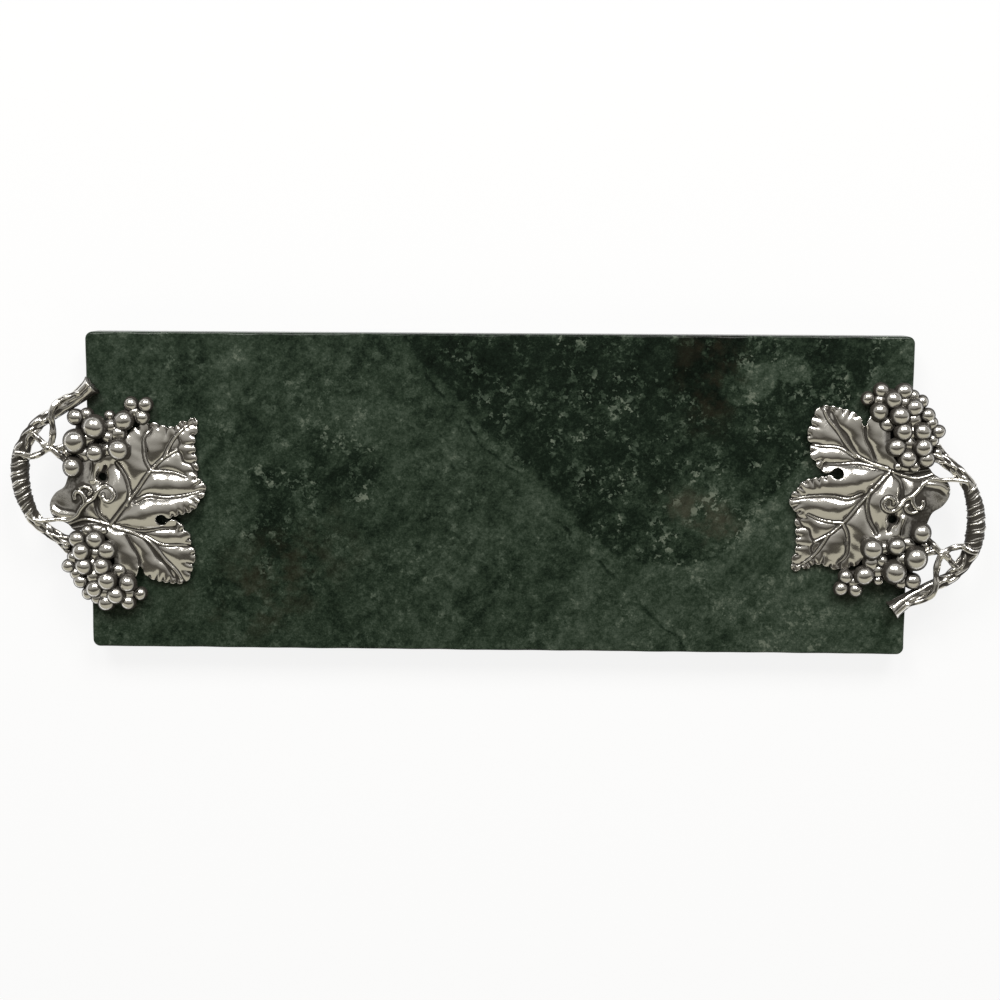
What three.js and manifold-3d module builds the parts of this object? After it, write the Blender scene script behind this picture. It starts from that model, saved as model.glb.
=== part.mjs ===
// A marble cheese board with a cast grape-vine handle screwed on at each end.
// Millimetres, +Z up. X runs along the slab and Y across it.
// The origin is under the middle of the slab, on the surface that its feet stand on.

import * as THREE from 'three';
import { mergeVertices } from 'three/addons/utils/BufferGeometryUtils.js';
import Module from 'manifold-3d';

// Marble slab
const SLAB_LENGTH = 457.2;
const SLAB_WIDTH = 177.8;
const SLAB_THICKNESS = 16;
const SLAB_CORNER_RADIUS = 4;
const SLAB_EASED_EDGE = 1.2;

// Rubber feet
const FOOT_DIAMETER = 14;
const FOOT_HEIGHT = 3;
const FOOT_INSET = 24;
const FOOT_DRAFT = 1;

// Handles: the middle of a handle's two screws lies this far from the slab's end and from its long axis,
// and each handle is set by hand, a little out of square (degrees)
const HANDLE_INSET = 29.4;
const LEFT_HANDLE_SHIFT = -5;
const LEFT_HANDLE_TURN = 1.6;
const RIGHT_HANDLE_SHIFT = -3.2;
const RIGHT_HANDLE_TURN = -1.6;

// Screws and washers
const SCREW_SPACING = 40;
const SCREW_SHANK = 4;
const SCREW_HEAD_DIAMETER = 7.6;
const SCREW_HEAD_HEIGHT = 2.8;
const SCREW_HEAD_ROUNDING = 1.1;
const SCREW_TIP_CHAMFER = 0.5;
const SCREW_REACH = 5;
const SCREW_SOCKET = 2.8;
const SCREW_SOCKET_DEPTH = 1.6;
const SCREW_HOLE_PLAY = 0.5;
const WASHER_DIAMETER = 9.6;
const WASHER_THICKNESS = 0.8;
const WASHER_PLAY = 0.3;
const COUNTERBORE_PLAY = 0.8;
const COUNTERBORE_DEPTH = 6;

// Cast pieces of one handle
const CAST_GAP = 0.3;
const LEAF_EDGE = 2;
const LEAF_WALL = 2.4;
const LEAF_COVER = 2.2;
const LEAF_SHOULDER = 10;
const TOOTH_BULGE = 0.22;
const BOSS_WALL = 2.2;
const TENDRIL_RADIUS = 1.1;
const TENDRIL_TIP_RADIUS = 0.75;
const TWIG_RADIUS = 1.4;
const TWIST_STRANDS = 3;
const TWIST_TURNS = 3;
const TWIST_DEPTH = 0.09;
const BUNCH_BACKING = 5;
const STALK_RADIUS = 1.8;

// Heights above the floor and above the seat of a handle, worked out from the sizes above
const SLAB_TOP = FOOT_HEIGHT + SLAB_THICKNESS;
const WASHER_SEAT = FOOT_HEIGHT + COUNTERBORE_DEPTH;
const LEAF_CROWN = SCREW_REACH + CAST_GAP + LEAF_COVER;
const LEAF_TALL = LEAF_CROWN + LEAF_WALL;
const SCREW_PLACES = [[0, SCREW_SPACING / 2], [0, -SCREW_SPACING / 2]];

// The leaf's free edge, from tooth notch to tooth notch, in the handle's own plane
const LEAF_FREE_EDGE = [
  [-4, 37.5], [1, 41], [7, 43], [12.5, 41.8], [17, 40], [21, 40.4], [23.5, 41.6],
  [25.4, 44.2], [28, 42], [32.6, 45.4], [33.2, 41.5], [31.4, 36], [30.8, 31], [31.3, 26], [31.7, 21],
  [32.2, 15.5], [31.4, 11.8], [35, 10], [36.2, 4.6], [33.4, 0.8], [32, -1.8], [29.5, -5], [26, -6.3],
  [22.3, -7], [18.7, -7.9], [15, -9],
];
const LEAF_SINUS = { x: 11.2, y: -10.7, radius: 3 };
const LEAF_LOWER_EDGE = [
  [15, -12.8], [21.1, -12.4], [23.6, -16.6], [26.9, -21.9], [25.9, -26], [28.9, -30.6], [26.8, -36],
  [25.9, -41], [22.3, -46.2], [18, -46.6], [14.2, -45.9], [10.6, -44.6], [7, -44], [3.8, -42.6], [0.9, -39.5],
  [-1, -36.2], [-3.8, -37.2], [-6.6, -37.3], [-9, -34.6], [-10.8, -31.5], [-12.3, -27.2],
];

// The leaf's edge where the grapes, the tendril and the petiole lie over it
const LEAF_COVERED_EDGE = [
  [-15, -21.5], [-22, -16.5], [-31, -15.6], [-38, -15.2], [-40.5, -12.2], [-45, -9.6], [-48.8, -7.4],
  [-50.6, -3], [-49.6, 1.8], [-46.4, 6], [-41, 9.6], [-39, 14.5], [-37.5, 20], [-32, 26.5], [-22, 32.5],
  [-12, 36],
];
const LEAF_EYE = { x: -19.7, y: 14.2, radius: 2.3 };

// The vine's centre line from the cut end to the small bunch: x, y, height above the seat, radius
const VINE_LINE = [
  [-22.8, 65.3, 4.5, 3.8], [-31.4, 58.8, 4.4, 3], [-38.9, 53.8, 4.8, 2.8], [-45.8, 49.5, 5.4, 2.9],
  [-52.7, 45.6, 6.2, 3.2], [-57.6, 40.6, 6.8, 3.4], [-61.3, 34.6, 7.2, 3.7], [-64, 28, 7.4, 4.8],
  [-64.8, 21.8, 7.5, 5.2], [-65.1, 14, 7.5, 5.1], [-64.3, 6.2, 7.2, 4.7], [-62.2, -0.8, 6.8, 4.1],
  [-59.6, -6.8, 6.3, 3.6], [-57, -11, 5.8, 3], [-52.4, -15.2, 5.3, 2.5], [-47.3, -19.2, 5, 2.3],
  [-43.6, -23.6, 4.8, 2.1],
];
const TWIST_FROM = 0.46;
const TWIST_TO = 0.74;

// The twigs' centre lines, which meet at one crossing: x, y, height above the seat
const CROSSING = [-47.6, 31.2, 8.8];
const TWIG_LINES = [
  [[-57, 40.2, 8.6], [-52.5, 35.9, 9], CROSSING, [-42.6, 31, 8], [-37.5, 33, 7]],
  [[-66, 29.4, 13], [-62.4, 29, 13.2], [-58.1, 27, 10.4], [-52.3, 28.4, 9], CROSSING, [-42, 26.6, 8],
    [-38, 23, 7]],
  [[-28.7, 61.6, 7.4], [-33.3, 60.1, 7.2], [-38.2, 58.5, 7.6], [-41.9, 56.1, 8.8], [-44.4, 52.2, 10.2],
    [-45, 47.6, 10], [-44.8, 42.3, 9], [-45.4, 36.8, 8.7], CROSSING],
];

// The tendril's line over the leaf, from the vine to the heart of its curl: x, y, lift off the leaf
const TENDRIL_LINE = [
  [-58.3, -8.6, 2.6], [-51, -8.8, 1.2], [-45, -8.9, 0], [-39.8, -9.3, 0], [-34.6, -6.8, 0], [-32.1, -3.3, 0],
  [-28.9, 0.2, 0], [-24.8, 2.9, 0], [-22.6, 6.1, 0], [-20.4, 8.4, 0], [-17.5, 9.4, 0], [-13.9, 7.6, 0],
  [-12.8, 4.2, 0], [-15.6, 1.2, 0], [-18.6, 2.4, 0], [-18.9, 4.9, 0],
];
const SIDE_CURL_LINE = [[-28.9, 0.2, 0], [-29.7, 4.2, 0], [-32, 6.4, 0], [-34.4, 5, 0], [-34, 1.8, 0]];

// The bunches. Grapes: x, y, radius, and the lift of the underside above the seat
const LARGE_BUNCH = {
  grapes: [
    [-32.6, 48, 4.4, 0.6], [-21.6, 42.7, 6.4, 2.4], [-32.9, 34.8, 6.3, 1.6], [-21.8, 28.2, 4.7, 4.4],
    [-8.1, 29.9, 5.6, 5], [-35.1, 20.5, 5.2, 3], [-5.6, 45.6, 5.1, 1.4], [4.1, 47, 3.8, 0.4],
    [-1.7, 54.3, 3.8, 0], [6.4, 53.9, 3.8, 0], [-13.9, 48.4, 2.7, 2], [-14.6, 36.8, 3.1, 5],
  ],
  backing: [
    [-33, 47], [-24, 45], [-13, 46.5], [-4, 52.5], [6, 53], [4, 46.5], [-4, 42], [-10, 32], [-21, 26],
    [-34, 18], [-37, 23], [-36, 36],
  ],
  stalk: [[-21.6, 42.7, 8.6], [-14.6, 36.8, 8.6], [-8.1, 29.9, 10]],
};
const SMALL_BUNCH = {
  grapes: [
    [-35.4, -20.2, 4.4, 1.6], [-25, -20.3, 4.8, 3], [-32.8, -26.8, 4.9, 3.6], [-18.2, -26.4, 4.8, 3.6],
    [-32, -35.3, 4.6, 3.2], [-21.6, -35.1, 4.7, 4.4], [-41.4, -35.4, 3.6, 1], [-19.1, -43.7, 4.9, 4.2],
    [-8.2, -45.5, 4.6, 2.6], [-26.9, -48.3, 4.6, 2.4], [-35, -44.2, 3.8, 0.8], [-15.2, -52.2, 4.7, 2.4],
    [-2, -52.2, 3.5, 0.4], [-21.1, -56.7, 4.4, 0.2], [-9, -56.8, 4, 0.2], [-31.6, -51.4, 3.4, 0.2],
    [-20.2, -15.6, 2.2, 5.4], [-41.6, -26.6, 2.4, 2.4],
  ],
  backing: [
    [-36, -19], [-26, -18], [-17.5, -25], [-17.5, -36], [-9, -44.5], [-3, -52], [-9, -56.5], [-21, -57],
    [-32, -49], [-40, -36], [-36, -26],
  ],
  stalk: [[-25, -20.3, 8], [-20.2, -15.6, 7.8]],
};

// How far a cutting shape runs past the face that it opens
const CUT_OVER = 1;

// Facet counts, and the mesh width of the leaf's faces
const LEAF_GRID = 6;
const ROUND_SIDES = 16;
const SOCKET_SIDES = 6;
const CORNER_STEPS = 4;
const EASE_STEPS = 2;
const VINE_SIDES = 10;
const PLAIN_VINE_STEPS = 8;
const TWISTED_VINE_STEPS = 24;
const TWIG_SIDES = 6;
const TWIG_STEPS = 10;
const TENDRIL_SIDES = 5;
const TENDRIL_STEPS = 36;
const TOOTH_STEPS = 2;
const SINUS_STEPS = 7;
const BACKING_STEPS = 24;
const GRAPE_DETAIL = 1;

// Finishes
const MARBLE = new THREE.MeshStandardMaterial({ color: 0x2f3d33, roughness: 0.35, metalness: 0 });
const SILVER = new THREE.MeshStandardMaterial({ color: 0xb9b4a8, roughness: 0.22, metalness: 1 });
const STEEL = new THREE.MeshStandardMaterial({ color: 0x9a9c9e, roughness: 0.35, metalness: 1 });
const RUBBER = new THREE.MeshStandardMaterial({ color: 0x1c1c1c, roughness: 0.8, metalness: 0 });

const UP = new THREE.Vector3(0, 0, 1);

const wasm = await Module();
wasm.setup();

// A closed geometry as a solid that can be joined and cut.
function solid(geometry) {
  const bare = geometry.clone();
  bare.deleteAttribute('normal');
  bare.deleteAttribute('uv');
  const merged = mergeVertices(bare, 1e-4);
  return new wasm.Manifold(new wasm.Mesh({
    numProp: 3,
    vertProperties: merged.attributes.position.array,
    triVerts: new Uint32Array(merged.index.array),
  }));
}

// The largest body of a solid as a geometry: a cut may leave loose crumbs, which are dropped.
function geometryOf(body) {
  const bodies = body.decompose();
  const largest = bodies.reduce((a, b) => (a.volume() > b.volume() ? a : b));
  const mesh = largest.getMesh();
  const geometry = new THREE.BufferGeometry();
  geometry.setAttribute('position', new THREE.Float32BufferAttribute(mesh.vertProperties, 3));
  geometry.setIndex(new THREE.Uint32BufferAttribute(mesh.triVerts, 1));
  geometry.computeVertexNormals();
  return geometry;
}

function joined(solids) {
  return solids.reduce((all, one) => all.add(one));
}

// A cylinder that stands on Z, from one height to another.
function upright(diameter, bottom, top, sides = ROUND_SIDES) {
  const cylinder = new THREE.CylinderGeometry(diameter / 2, diameter / 2, top - bottom, sides);
  return cylinder.rotateX(Math.PI / 2).translate(0, 0, (top + bottom) / 2);
}

// A profile of [radius, height] points turned round Z.
function turned(profile) {
  const points = profile.map(([radius, height]) => new THREE.Vector2(radius, height));
  return new THREE.LatheGeometry(points, ROUND_SIDES).rotateX(Math.PI / 2);
}

// A plate of a flat outline between two heights.
function plate(outline, bottom, top) {
  const shape = new THREE.Shape(outline.map(([x, y]) => new THREE.Vector2(x, y)));
  return new THREE.ExtrudeGeometry(shape, { depth: top - bottom, bevelEnabled: false }).translate(0, 0, bottom);
}

// A closed smooth outline through a few points.
function smoothOutline(points) {
  const curve = new THREE.CatmullRomCurve3(points.map(([x, y]) => new THREE.Vector3(x, y, 0)), true);
  return curve.getSpacedPoints(BACKING_STEPS).slice(0, -1).map(({ x, y }) => [x, y]);
}

// A round bar along a curve: a cylinder whose rings are carried along the line to the given stations,
// which are shares of its length. radiusAt(along, angle) gives the radius there at an angle round the bar.
function bar(curve, stations, sides, radiusAt) {
  const steps = stations.length - 1;
  const cylinder = new THREE.CylinderGeometry(1, 1, 1, sides, steps);
  const position = cylinder.attributes.position;
  const point = new THREE.Vector3();
  const sideways = new THREE.Vector3();
  const upwards = new THREE.Vector3();
  for (let i = 0; i < position.count; i += 1) {
    const along = stations[Math.round((0.5 - position.getY(i)) * steps)];
    const across = position.getX(i);
    const over = position.getZ(i);
    const radius = radiusAt(along, Math.atan2(over, across));
    const tangent = curve.getTangentAt(along);
    sideways.crossVectors(UP, tangent).normalize();
    upwards.crossVectors(tangent, sideways);
    point.copy(curve.getPointAt(along));
    point.addScaledVector(sideways, across * radius);
    point.addScaledVector(upwards, over * radius);
    position.setXYZ(i, point.x, point.y, point.z);
  }
  return cylinder;
}

// Evenly spaced stations between two shares of a length.
function evenly(from, to, steps) {
  return Array.from({ length: steps + 1 }, (_, i) => from + ((to - from) * i) / steps);
}

function curveThrough(points) {
  const stops = points.map(([x, y, z]) => new THREE.Vector3(x, y, z));
  return new THREE.CatmullRomCurve3(stops, false, 'centripetal');
}

// The leaf's toothed free edge: each tooth is an arc that bulges out between two notches.
function toothed(notches) {
  const shape = new THREE.Shape();
  shape.moveTo(...notches[0]);
  for (let i = 1; i < notches.length; i += 1) {
    const [x0, y0] = notches[i - 1];
    const [x1, y1] = notches[i];
    const outX = (y0 - y1) * TOOTH_BULGE;
    const outY = (x1 - x0) * TOOTH_BULGE;
    shape.quadraticCurveTo((x0 + x1) / 2 + outX, (y0 + y1) / 2 + outY, x1, y1);
  }
  return shape.getPoints(TOOTH_STEPS).map(({ x, y }) => [x, y]);
}

// The round end of the slit between the leaf's right and lower lobes.
function sinusArc() {
  const { x, y, radius } = LEAF_SINUS;
  const arc = new THREE.EllipseCurve(x, y, radius, radius, Math.PI / 4, -Math.PI / 4, false);
  return arc.getPoints(SINUS_STEPS).map((point) => [point.x, point.y]);
}

const LEAF_OUTLINE = [
  ...toothed(LEAF_FREE_EDGE), ...sinusArc(), ...toothed(LEAF_LOWER_EDGE), ...LEAF_COVERED_EDGE,
];

// How far a point lies inside the leaf's outline, and zero outside it.
function insideLeaf(x, y) {
  let nearest = Infinity;
  let inside = false;
  LEAF_OUTLINE.forEach(([x1, y1], i) => {
    const [x0, y0] = LEAF_OUTLINE.at(i - 1);
    const length2 = (x1 - x0) ** 2 + (y1 - y0) ** 2;
    const share = THREE.MathUtils.clamp(((x - x0) * (x1 - x0) + (y - y0) * (y1 - y0)) / length2, 0, 1);
    nearest = Math.min(nearest, Math.hypot(x - x0 - share * (x1 - x0), y - y0 - share * (y1 - y0)));
    if ((y0 > y) !== (y1 > y) && x < x0 + ((y - y0) * (x1 - x0)) / (y1 - y0)) inside = !inside;
  });
  return inside ? nearest : 0;
}

// The height of the leaf's upper face above the seat: a low edge that swells to the crown.
function leafTop(x, y) {
  const swell = THREE.MathUtils.smoothstep(insideLeaf(x, y), 0, LEAF_SHOULDER);
  return CAST_GAP + LEAF_EDGE + swell * (LEAF_CROWN - CAST_GAP - LEAF_EDGE);
}

// A block over the leaf's whole field, with its upper and lower faces drawn to two heights.
function leafBlock(upper, lower) {
  const xs = LEAF_OUTLINE.map(([x]) => x);
  const ys = LEAF_OUTLINE.map(([, y]) => y);
  const west = Math.min(...xs) - LEAF_GRID;
  const south = Math.min(...ys) - LEAF_GRID;
  const columns = Math.ceil((Math.max(...xs) - west) / LEAF_GRID) + 1;
  const rows = Math.ceil((Math.max(...ys) - south) / LEAF_GRID) + 1;
  const width = columns * LEAF_GRID;
  const depth = rows * LEAF_GRID;
  const block = new THREE.BoxGeometry(width, depth, 1, columns, rows, 1);
  block.translate(west + width / 2, south + depth / 2, 0);
  const position = block.attributes.position;
  for (let i = 0; i < position.count; i += 1) {
    const x = position.getX(i);
    const y = position.getY(i);
    position.setZ(i, position.getZ(i) > 0 ? upper(x, y) : lower(x, y));
  }
  return solid(block);
}

// The outline moved outwards by the gap that the neighbours keep.
function clearOutline(outline, gap) {
  return outline.map(([x, y], i) => {
    const [x0, y0] = outline.at(i - 1);
    const [x1, y1] = outline[(i + 1) % outline.length];
    const length = Math.hypot(x1 - x0, y1 - y0);
    return [x - ((y1 - y0) / length) * gap, y + ((x1 - x0) / length) * gap];
  });
}

// The cast leaf: a thin shell with two bosses under it for the screws.
function leafSolid() {
  const under = (x, y) => Math.max(CAST_GAP, leafTop(x, y) - LEAF_WALL);
  const boreDiameter = SCREW_SHANK + 2 * CAST_GAP;
  const filled = leafBlock(leafTop, () => CAST_GAP);
  let leaf = leafBlock(leafTop, under).intersect(solid(plate(LEAF_OUTLINE, 0, LEAF_TALL)));
  for (const [x, y] of SCREW_PLACES) {
    const boss = upright(boreDiameter + 2 * BOSS_WALL, 0, LEAF_TALL).translate(x, y, 0);
    leaf = leaf.add(solid(boss).intersect(filled));
    leaf = leaf.subtract(solid(upright(boreDiameter, -CUT_OVER, SCREW_REACH + CAST_GAP).translate(x, y, 0)));
  }
  const eye = upright(2 * LEAF_EYE.radius, -CUT_OVER, LEAF_TALL).translate(LEAF_EYE.x, LEAF_EYE.y, 0);
  return leaf.subtract(solid(eye));
}

// The space that the neighbours leave free for the leaf.
function leafSpace() {
  const filled = leafBlock((x, y) => leafTop(x, y) + CAST_GAP, () => -LEAF_TALL);
  return filled.intersect(solid(plate(clearOutline(LEAF_OUTLINE, CAST_GAP), -LEAF_TALL, LEAF_TALL)));
}

// The vine stem, thickest where it is twisted like a rope. The gap widens it for cutting what meets it.
function vineSolid(gap = 0) {
  const curve = curveThrough(VINE_LINE);
  const radii = new THREE.CatmullRomCurve3(VINE_LINE.map(([, , , r], i) => new THREE.Vector3(i, r, 0)));
  const radiusAt = (along, angle) => {
    const share = THREE.MathUtils.clamp((along - TWIST_FROM) / (TWIST_TO - TWIST_FROM), 0, 1);
    const fade = Math.sin(Math.PI * share);
    const wave = Math.cos(TWIST_STRANDS * (angle - 2 * Math.PI * TWIST_TURNS * share));
    return radii.getPoint(curve.getUtoTmapping(along)).y * (1 + TWIST_DEPTH * fade * wave) + gap;
  };
  const stations = [
    ...evenly(0, TWIST_FROM, PLAIN_VINE_STEPS).slice(0, -1),
    ...evenly(TWIST_FROM, TWIST_TO, TWISTED_VINE_STEPS).slice(0, -1),
    ...evenly(TWIST_TO, 1, PLAIN_VINE_STEPS),
  ];
  return solid(bar(curve, stations, VINE_SIDES, radiusAt));
}

function twigsSolid(gap = 0) {
  const stations = evenly(0, 1, TWIG_STEPS);
  const radiusAt = () => TWIG_RADIUS + gap;
  return joined(TWIG_LINES.map((line) => solid(bar(curveThrough(line), stations, TWIG_SIDES, radiusAt))));
}

// The tendril lies on the leaf and thins towards the heart of its curl.
function tendrilSolid(gap = 0) {
  const onLeaf = ([x, y, lift]) => [x, y, leafTop(x, y) + CAST_GAP + TENDRIL_RADIUS + lift];
  const radiusAt = (along) => THREE.MathUtils.lerp(TENDRIL_RADIUS, TENDRIL_TIP_RADIUS, along) + gap;
  const curl = (line, steps) => (
    solid(bar(curveThrough(line.map(onLeaf)), evenly(0, 1, steps), TENDRIL_SIDES, radiusAt))
  );
  return curl(TENDRIL_LINE, TENDRIL_STEPS).add(curl(SIDE_CURL_LINE, TWIG_STEPS));
}

// A bunch: grapes on a flat backing, and a stalk to the ones that stand off it.
function bunchSolid({ grapes, backing, stalk }) {
  const back = solid(plate(smoothOutline(backing), CAST_GAP, CAST_GAP + BUNCH_BACKING));
  const stations = evenly(0, 1, stalk.length - 1);
  const branch = solid(bar(curveThrough(stalk), stations, TWIG_SIDES, () => STALK_RADIUS));
  const balls = grapes.map(([x, y, radius, lift]) => (
    solid(new THREE.IcosahedronGeometry(radius, GRAPE_DETAIL).translate(x, y, CAST_GAP + lift + radius))
  ));
  return joined([back, branch, ...balls]);
}

// The screws' and holes' places on the slab, for a handle that sits at a seat.
function screwPlaces({ x, y, angle }) {
  const cos = Math.cos(angle);
  const sin = Math.sin(angle);
  return SCREW_PLACES.map(([u, v]) => [x + u * cos - v * sin, y + u * sin + v * cos]);
}

// The slab: rounded corners, eased edges, and counterbored holes for the screws from beneath.
function slabGeometry(places) {
  const x = SLAB_LENGTH / 2 - SLAB_CORNER_RADIUS;
  const y = SLAB_WIDTH / 2 - SLAB_CORNER_RADIUS;
  const shape = new THREE.Shape();
  shape.absarc(x, y, SLAB_CORNER_RADIUS, 0, Math.PI / 2);
  shape.absarc(-x, y, SLAB_CORNER_RADIUS, Math.PI / 2, Math.PI);
  shape.absarc(-x, -y, SLAB_CORNER_RADIUS, Math.PI, 1.5 * Math.PI);
  shape.absarc(x, -y, SLAB_CORNER_RADIUS, 1.5 * Math.PI, 2 * Math.PI);
  const block = new THREE.ExtrudeGeometry(shape, {
    depth: SLAB_THICKNESS - 2 * SLAB_EASED_EDGE,
    bevelThickness: SLAB_EASED_EDGE,
    bevelSize: SLAB_EASED_EDGE,
    bevelOffset: -SLAB_EASED_EDGE,
    bevelSegments: EASE_STEPS,
    curveSegments: CORNER_STEPS,
  });
  let slab = solid(block.translate(0, 0, FOOT_HEIGHT + SLAB_EASED_EDGE));
  const counterbore = WASHER_DIAMETER + 2 * COUNTERBORE_PLAY;
  const hole = SCREW_SHANK + 2 * SCREW_HOLE_PLAY;
  for (const [px, py] of places) {
    slab = slab.subtract(solid(upright(counterbore, FOOT_HEIGHT - CUT_OVER, WASHER_SEAT).translate(px, py, 0)));
    slab = slab.subtract(solid(upright(hole, FOOT_HEIGHT, SLAB_TOP + CUT_OVER).translate(px, py, 0)));
  }
  return geometryOf(slab);
}

// A pan-head screw, head down, with a six-sided socket.
function screwGeometry() {
  const headTop = WASHER_SEAT - WASHER_THICKNESS;
  const headBottom = headTop - SCREW_HEAD_HEIGHT;
  const headRadius = SCREW_HEAD_DIAMETER / 2;
  const shankRadius = SCREW_SHANK / 2;
  const tip = SLAB_TOP + SCREW_REACH;
  const body = turned([
    [0, headBottom], [headRadius - SCREW_HEAD_ROUNDING, headBottom],
    [headRadius, headBottom + SCREW_HEAD_ROUNDING], [headRadius, headTop], [shankRadius, headTop],
    [shankRadius, tip - SCREW_TIP_CHAMFER], [shankRadius - SCREW_TIP_CHAMFER, tip], [0, tip],
  ]);
  const socket = upright(SCREW_SOCKET, headBottom - CUT_OVER, headBottom + SCREW_SOCKET_DEPTH, SOCKET_SIDES);
  return geometryOf(solid(body).subtract(solid(socket)));
}

function washerGeometry() {
  const inner = SCREW_SHANK / 2 + WASHER_PLAY;
  const outer = WASHER_DIAMETER / 2;
  const low = WASHER_SEAT - WASHER_THICKNESS;
  return turned([[inner, low], [outer, low], [outer, WASHER_SEAT], [inner, WASHER_SEAT], [inner, low]]);
}

function footGeometry() {
  const radius = FOOT_DIAMETER / 2;
  return turned([[0, 0], [radius - FOOT_DRAFT, 0], [radius, FOOT_HEIGHT], [0, FOOT_HEIGHT]]);
}

function named(name, geometry, material) {
  const mesh = new THREE.Mesh(geometry, material);
  mesh.name = name;
  return mesh;
}

// The cast pieces of a handle, each clear of the ones that it meets.
function handlePieces() {
  const leafRoom = leafSpace();
  const vine = vineSolid();
  const vineRoom = vineSolid(CAST_GAP);
  const twigs = twigsSolid().subtract(vineRoom);
  const twigRoom = twigsSolid(CAST_GAP);
  const tendril = tendrilSolid().subtract(vineRoom).subtract(leafRoom);
  const tendrilRoom = tendrilSolid(CAST_GAP);
  const met = [leafRoom, vineRoom, twigRoom, tendrilRoom];
  const clear = (bunch) => met.reduce((rest, room) => rest.subtract(room), bunch);
  return {
    grape_leaf: geometryOf(leafSolid()),
    vine_stem: geometryOf(vine),
    vine_twigs: geometryOf(twigs),
    tendril: geometryOf(tendril),
    large_bunch: geometryOf(clear(bunchSolid(LARGE_BUNCH))),
    small_bunch: geometryOf(clear(bunchSolid(SMALL_BUNCH))),
  };
}

const board = new THREE.Group();
const mountX = SLAB_LENGTH / 2 - HANDLE_INSET;
const leftAngle = THREE.MathUtils.degToRad(LEFT_HANDLE_TURN);
const rightAngle = THREE.MathUtils.degToRad(RIGHT_HANDLE_TURN + 180);
const seats = [
  { side: 'left', x: -mountX, y: LEFT_HANDLE_SHIFT, angle: leftAngle },
  { side: 'right', x: mountX, y: -RIGHT_HANDLE_SHIFT, angle: rightAngle },
];

board.add(named('marble_slab', slabGeometry(seats.flatMap(screwPlaces)), MARBLE));

const pieces = handlePieces();
const screw = screwGeometry();
const washer = washerGeometry();
for (const seat of seats) {
  const handle = new THREE.Group();
  handle.position.set(seat.x, seat.y, SLAB_TOP);
  handle.rotation.z = seat.angle;
  for (const [name, geometry] of Object.entries(pieces)) {
    handle.add(named(`${seat.side}_${name}`, geometry, SILVER));
  }
  board.add(handle);
  screwPlaces(seat).forEach(([x, y], i) => {
    const fixings = new THREE.Group();
    fixings.position.set(x, y, 0);
    fixings.add(named(`${seat.side}_screw_${i + 1}`, screw, STEEL));
    fixings.add(named(`${seat.side}_washer_${i + 1}`, washer, STEEL));
    board.add(fixings);
  });
}

const footX = SLAB_LENGTH / 2 - FOOT_INSET;
const footY = SLAB_WIDTH / 2 - FOOT_INSET;
const foot = footGeometry();
[[-footX, -footY], [footX, -footY], [footX, footY], [-footX, footY]].forEach(([x, y], i) => {
  const mesh = named(`foot_${i + 1}`, foot, RUBBER);
  mesh.position.set(x, y, 0);
  board.add(mesh);
});

export default board;
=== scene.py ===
import bpy
import numpy as np
from mathutils import Matrix, Vector, geometry


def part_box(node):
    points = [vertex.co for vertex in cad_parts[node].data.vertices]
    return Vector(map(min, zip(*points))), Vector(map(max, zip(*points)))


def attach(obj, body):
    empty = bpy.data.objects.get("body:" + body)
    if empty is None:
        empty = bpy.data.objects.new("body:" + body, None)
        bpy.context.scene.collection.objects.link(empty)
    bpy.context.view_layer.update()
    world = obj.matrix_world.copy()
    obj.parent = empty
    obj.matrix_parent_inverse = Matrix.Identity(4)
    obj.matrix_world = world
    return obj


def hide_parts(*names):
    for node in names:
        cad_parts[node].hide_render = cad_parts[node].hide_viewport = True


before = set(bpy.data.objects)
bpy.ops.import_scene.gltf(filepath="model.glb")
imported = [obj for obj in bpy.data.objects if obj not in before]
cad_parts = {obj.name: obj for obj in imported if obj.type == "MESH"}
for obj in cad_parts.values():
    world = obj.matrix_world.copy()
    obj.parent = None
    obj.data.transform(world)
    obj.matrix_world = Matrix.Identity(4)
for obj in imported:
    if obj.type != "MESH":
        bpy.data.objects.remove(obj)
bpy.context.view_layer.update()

# The slab is one sawn sheet of dark green marble, honed and waxed.
# Its corners are a little rounded and its edges eased by hand, so the easing wanders along them.
# Four counterbored holes from beneath take the screws that hold the handles.
SLAB_CORNER = 0.004
CORNER_POINTS = 9
EDGE_SPACING = 0.004
SLAB_EASE = 0.0012
EASE_RINGS = 5
EASE_WANDER = 0.35
EASE_WAVES = [(97, 0), (41, 1), (233, 2)]
QUICK_WAVE = 0.6
COUNTERBORE_RADIUS = 0.0056
COUNTERBORE_DEPTH = 0.006
SCREW_HOLE_RADIUS = 0.0025
HOLE_POINTS = 40
KEEP_INSIDE = 1
SAME_POINT = 1e-9

# The stone's colours from its darkest to its palest tone, and those of its stains
MARBLE_TONES = [
    (0.00, (0.0010, 0.0034, 0.0016, 1)),
    (0.30, (0.0068, 0.0136, 0.0080, 1)),
    (0.50, (0.0222, 0.0360, 0.0226, 1)),
    (0.70, (0.0500, 0.0700, 0.0500, 1)),
    (0.95, (0.1380, 0.1640, 0.1260, 1))]
MARBLE_BROWN = (0.0230, 0.0190, 0.0110, 1)
MARBLE_TAN = (0.0640, 0.0580, 0.0410, 1)

# Noises from cloud to grain: lean, scale (1 / m), detail, roughness, warp and weight in the tone.
# A lean is a turn in degrees and the stretch of the noise along and across it.
STONE_LEANS = {"slanted": (48, 2.2, 0.75), "streaked": (-42, 2.6, 0.8)}
STONE_NOISES = [
    ("even", 16, 4, 0.50, 0.8, 0.22),
    ("slanted", 75, 5, 0.62, 0.3, 0.60),
    ("streaked", 60, 5, 0.60, 0.9, 0.32),
    ("even", 170, 3, 0.55, 0.3, 0.52),
    ("even", 480, 3, 0.55, 0.2, 0.50)]
GRAIN_NOISE = (1000, 3, 0.6)
GRAIN_TONE = 0.42

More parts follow.
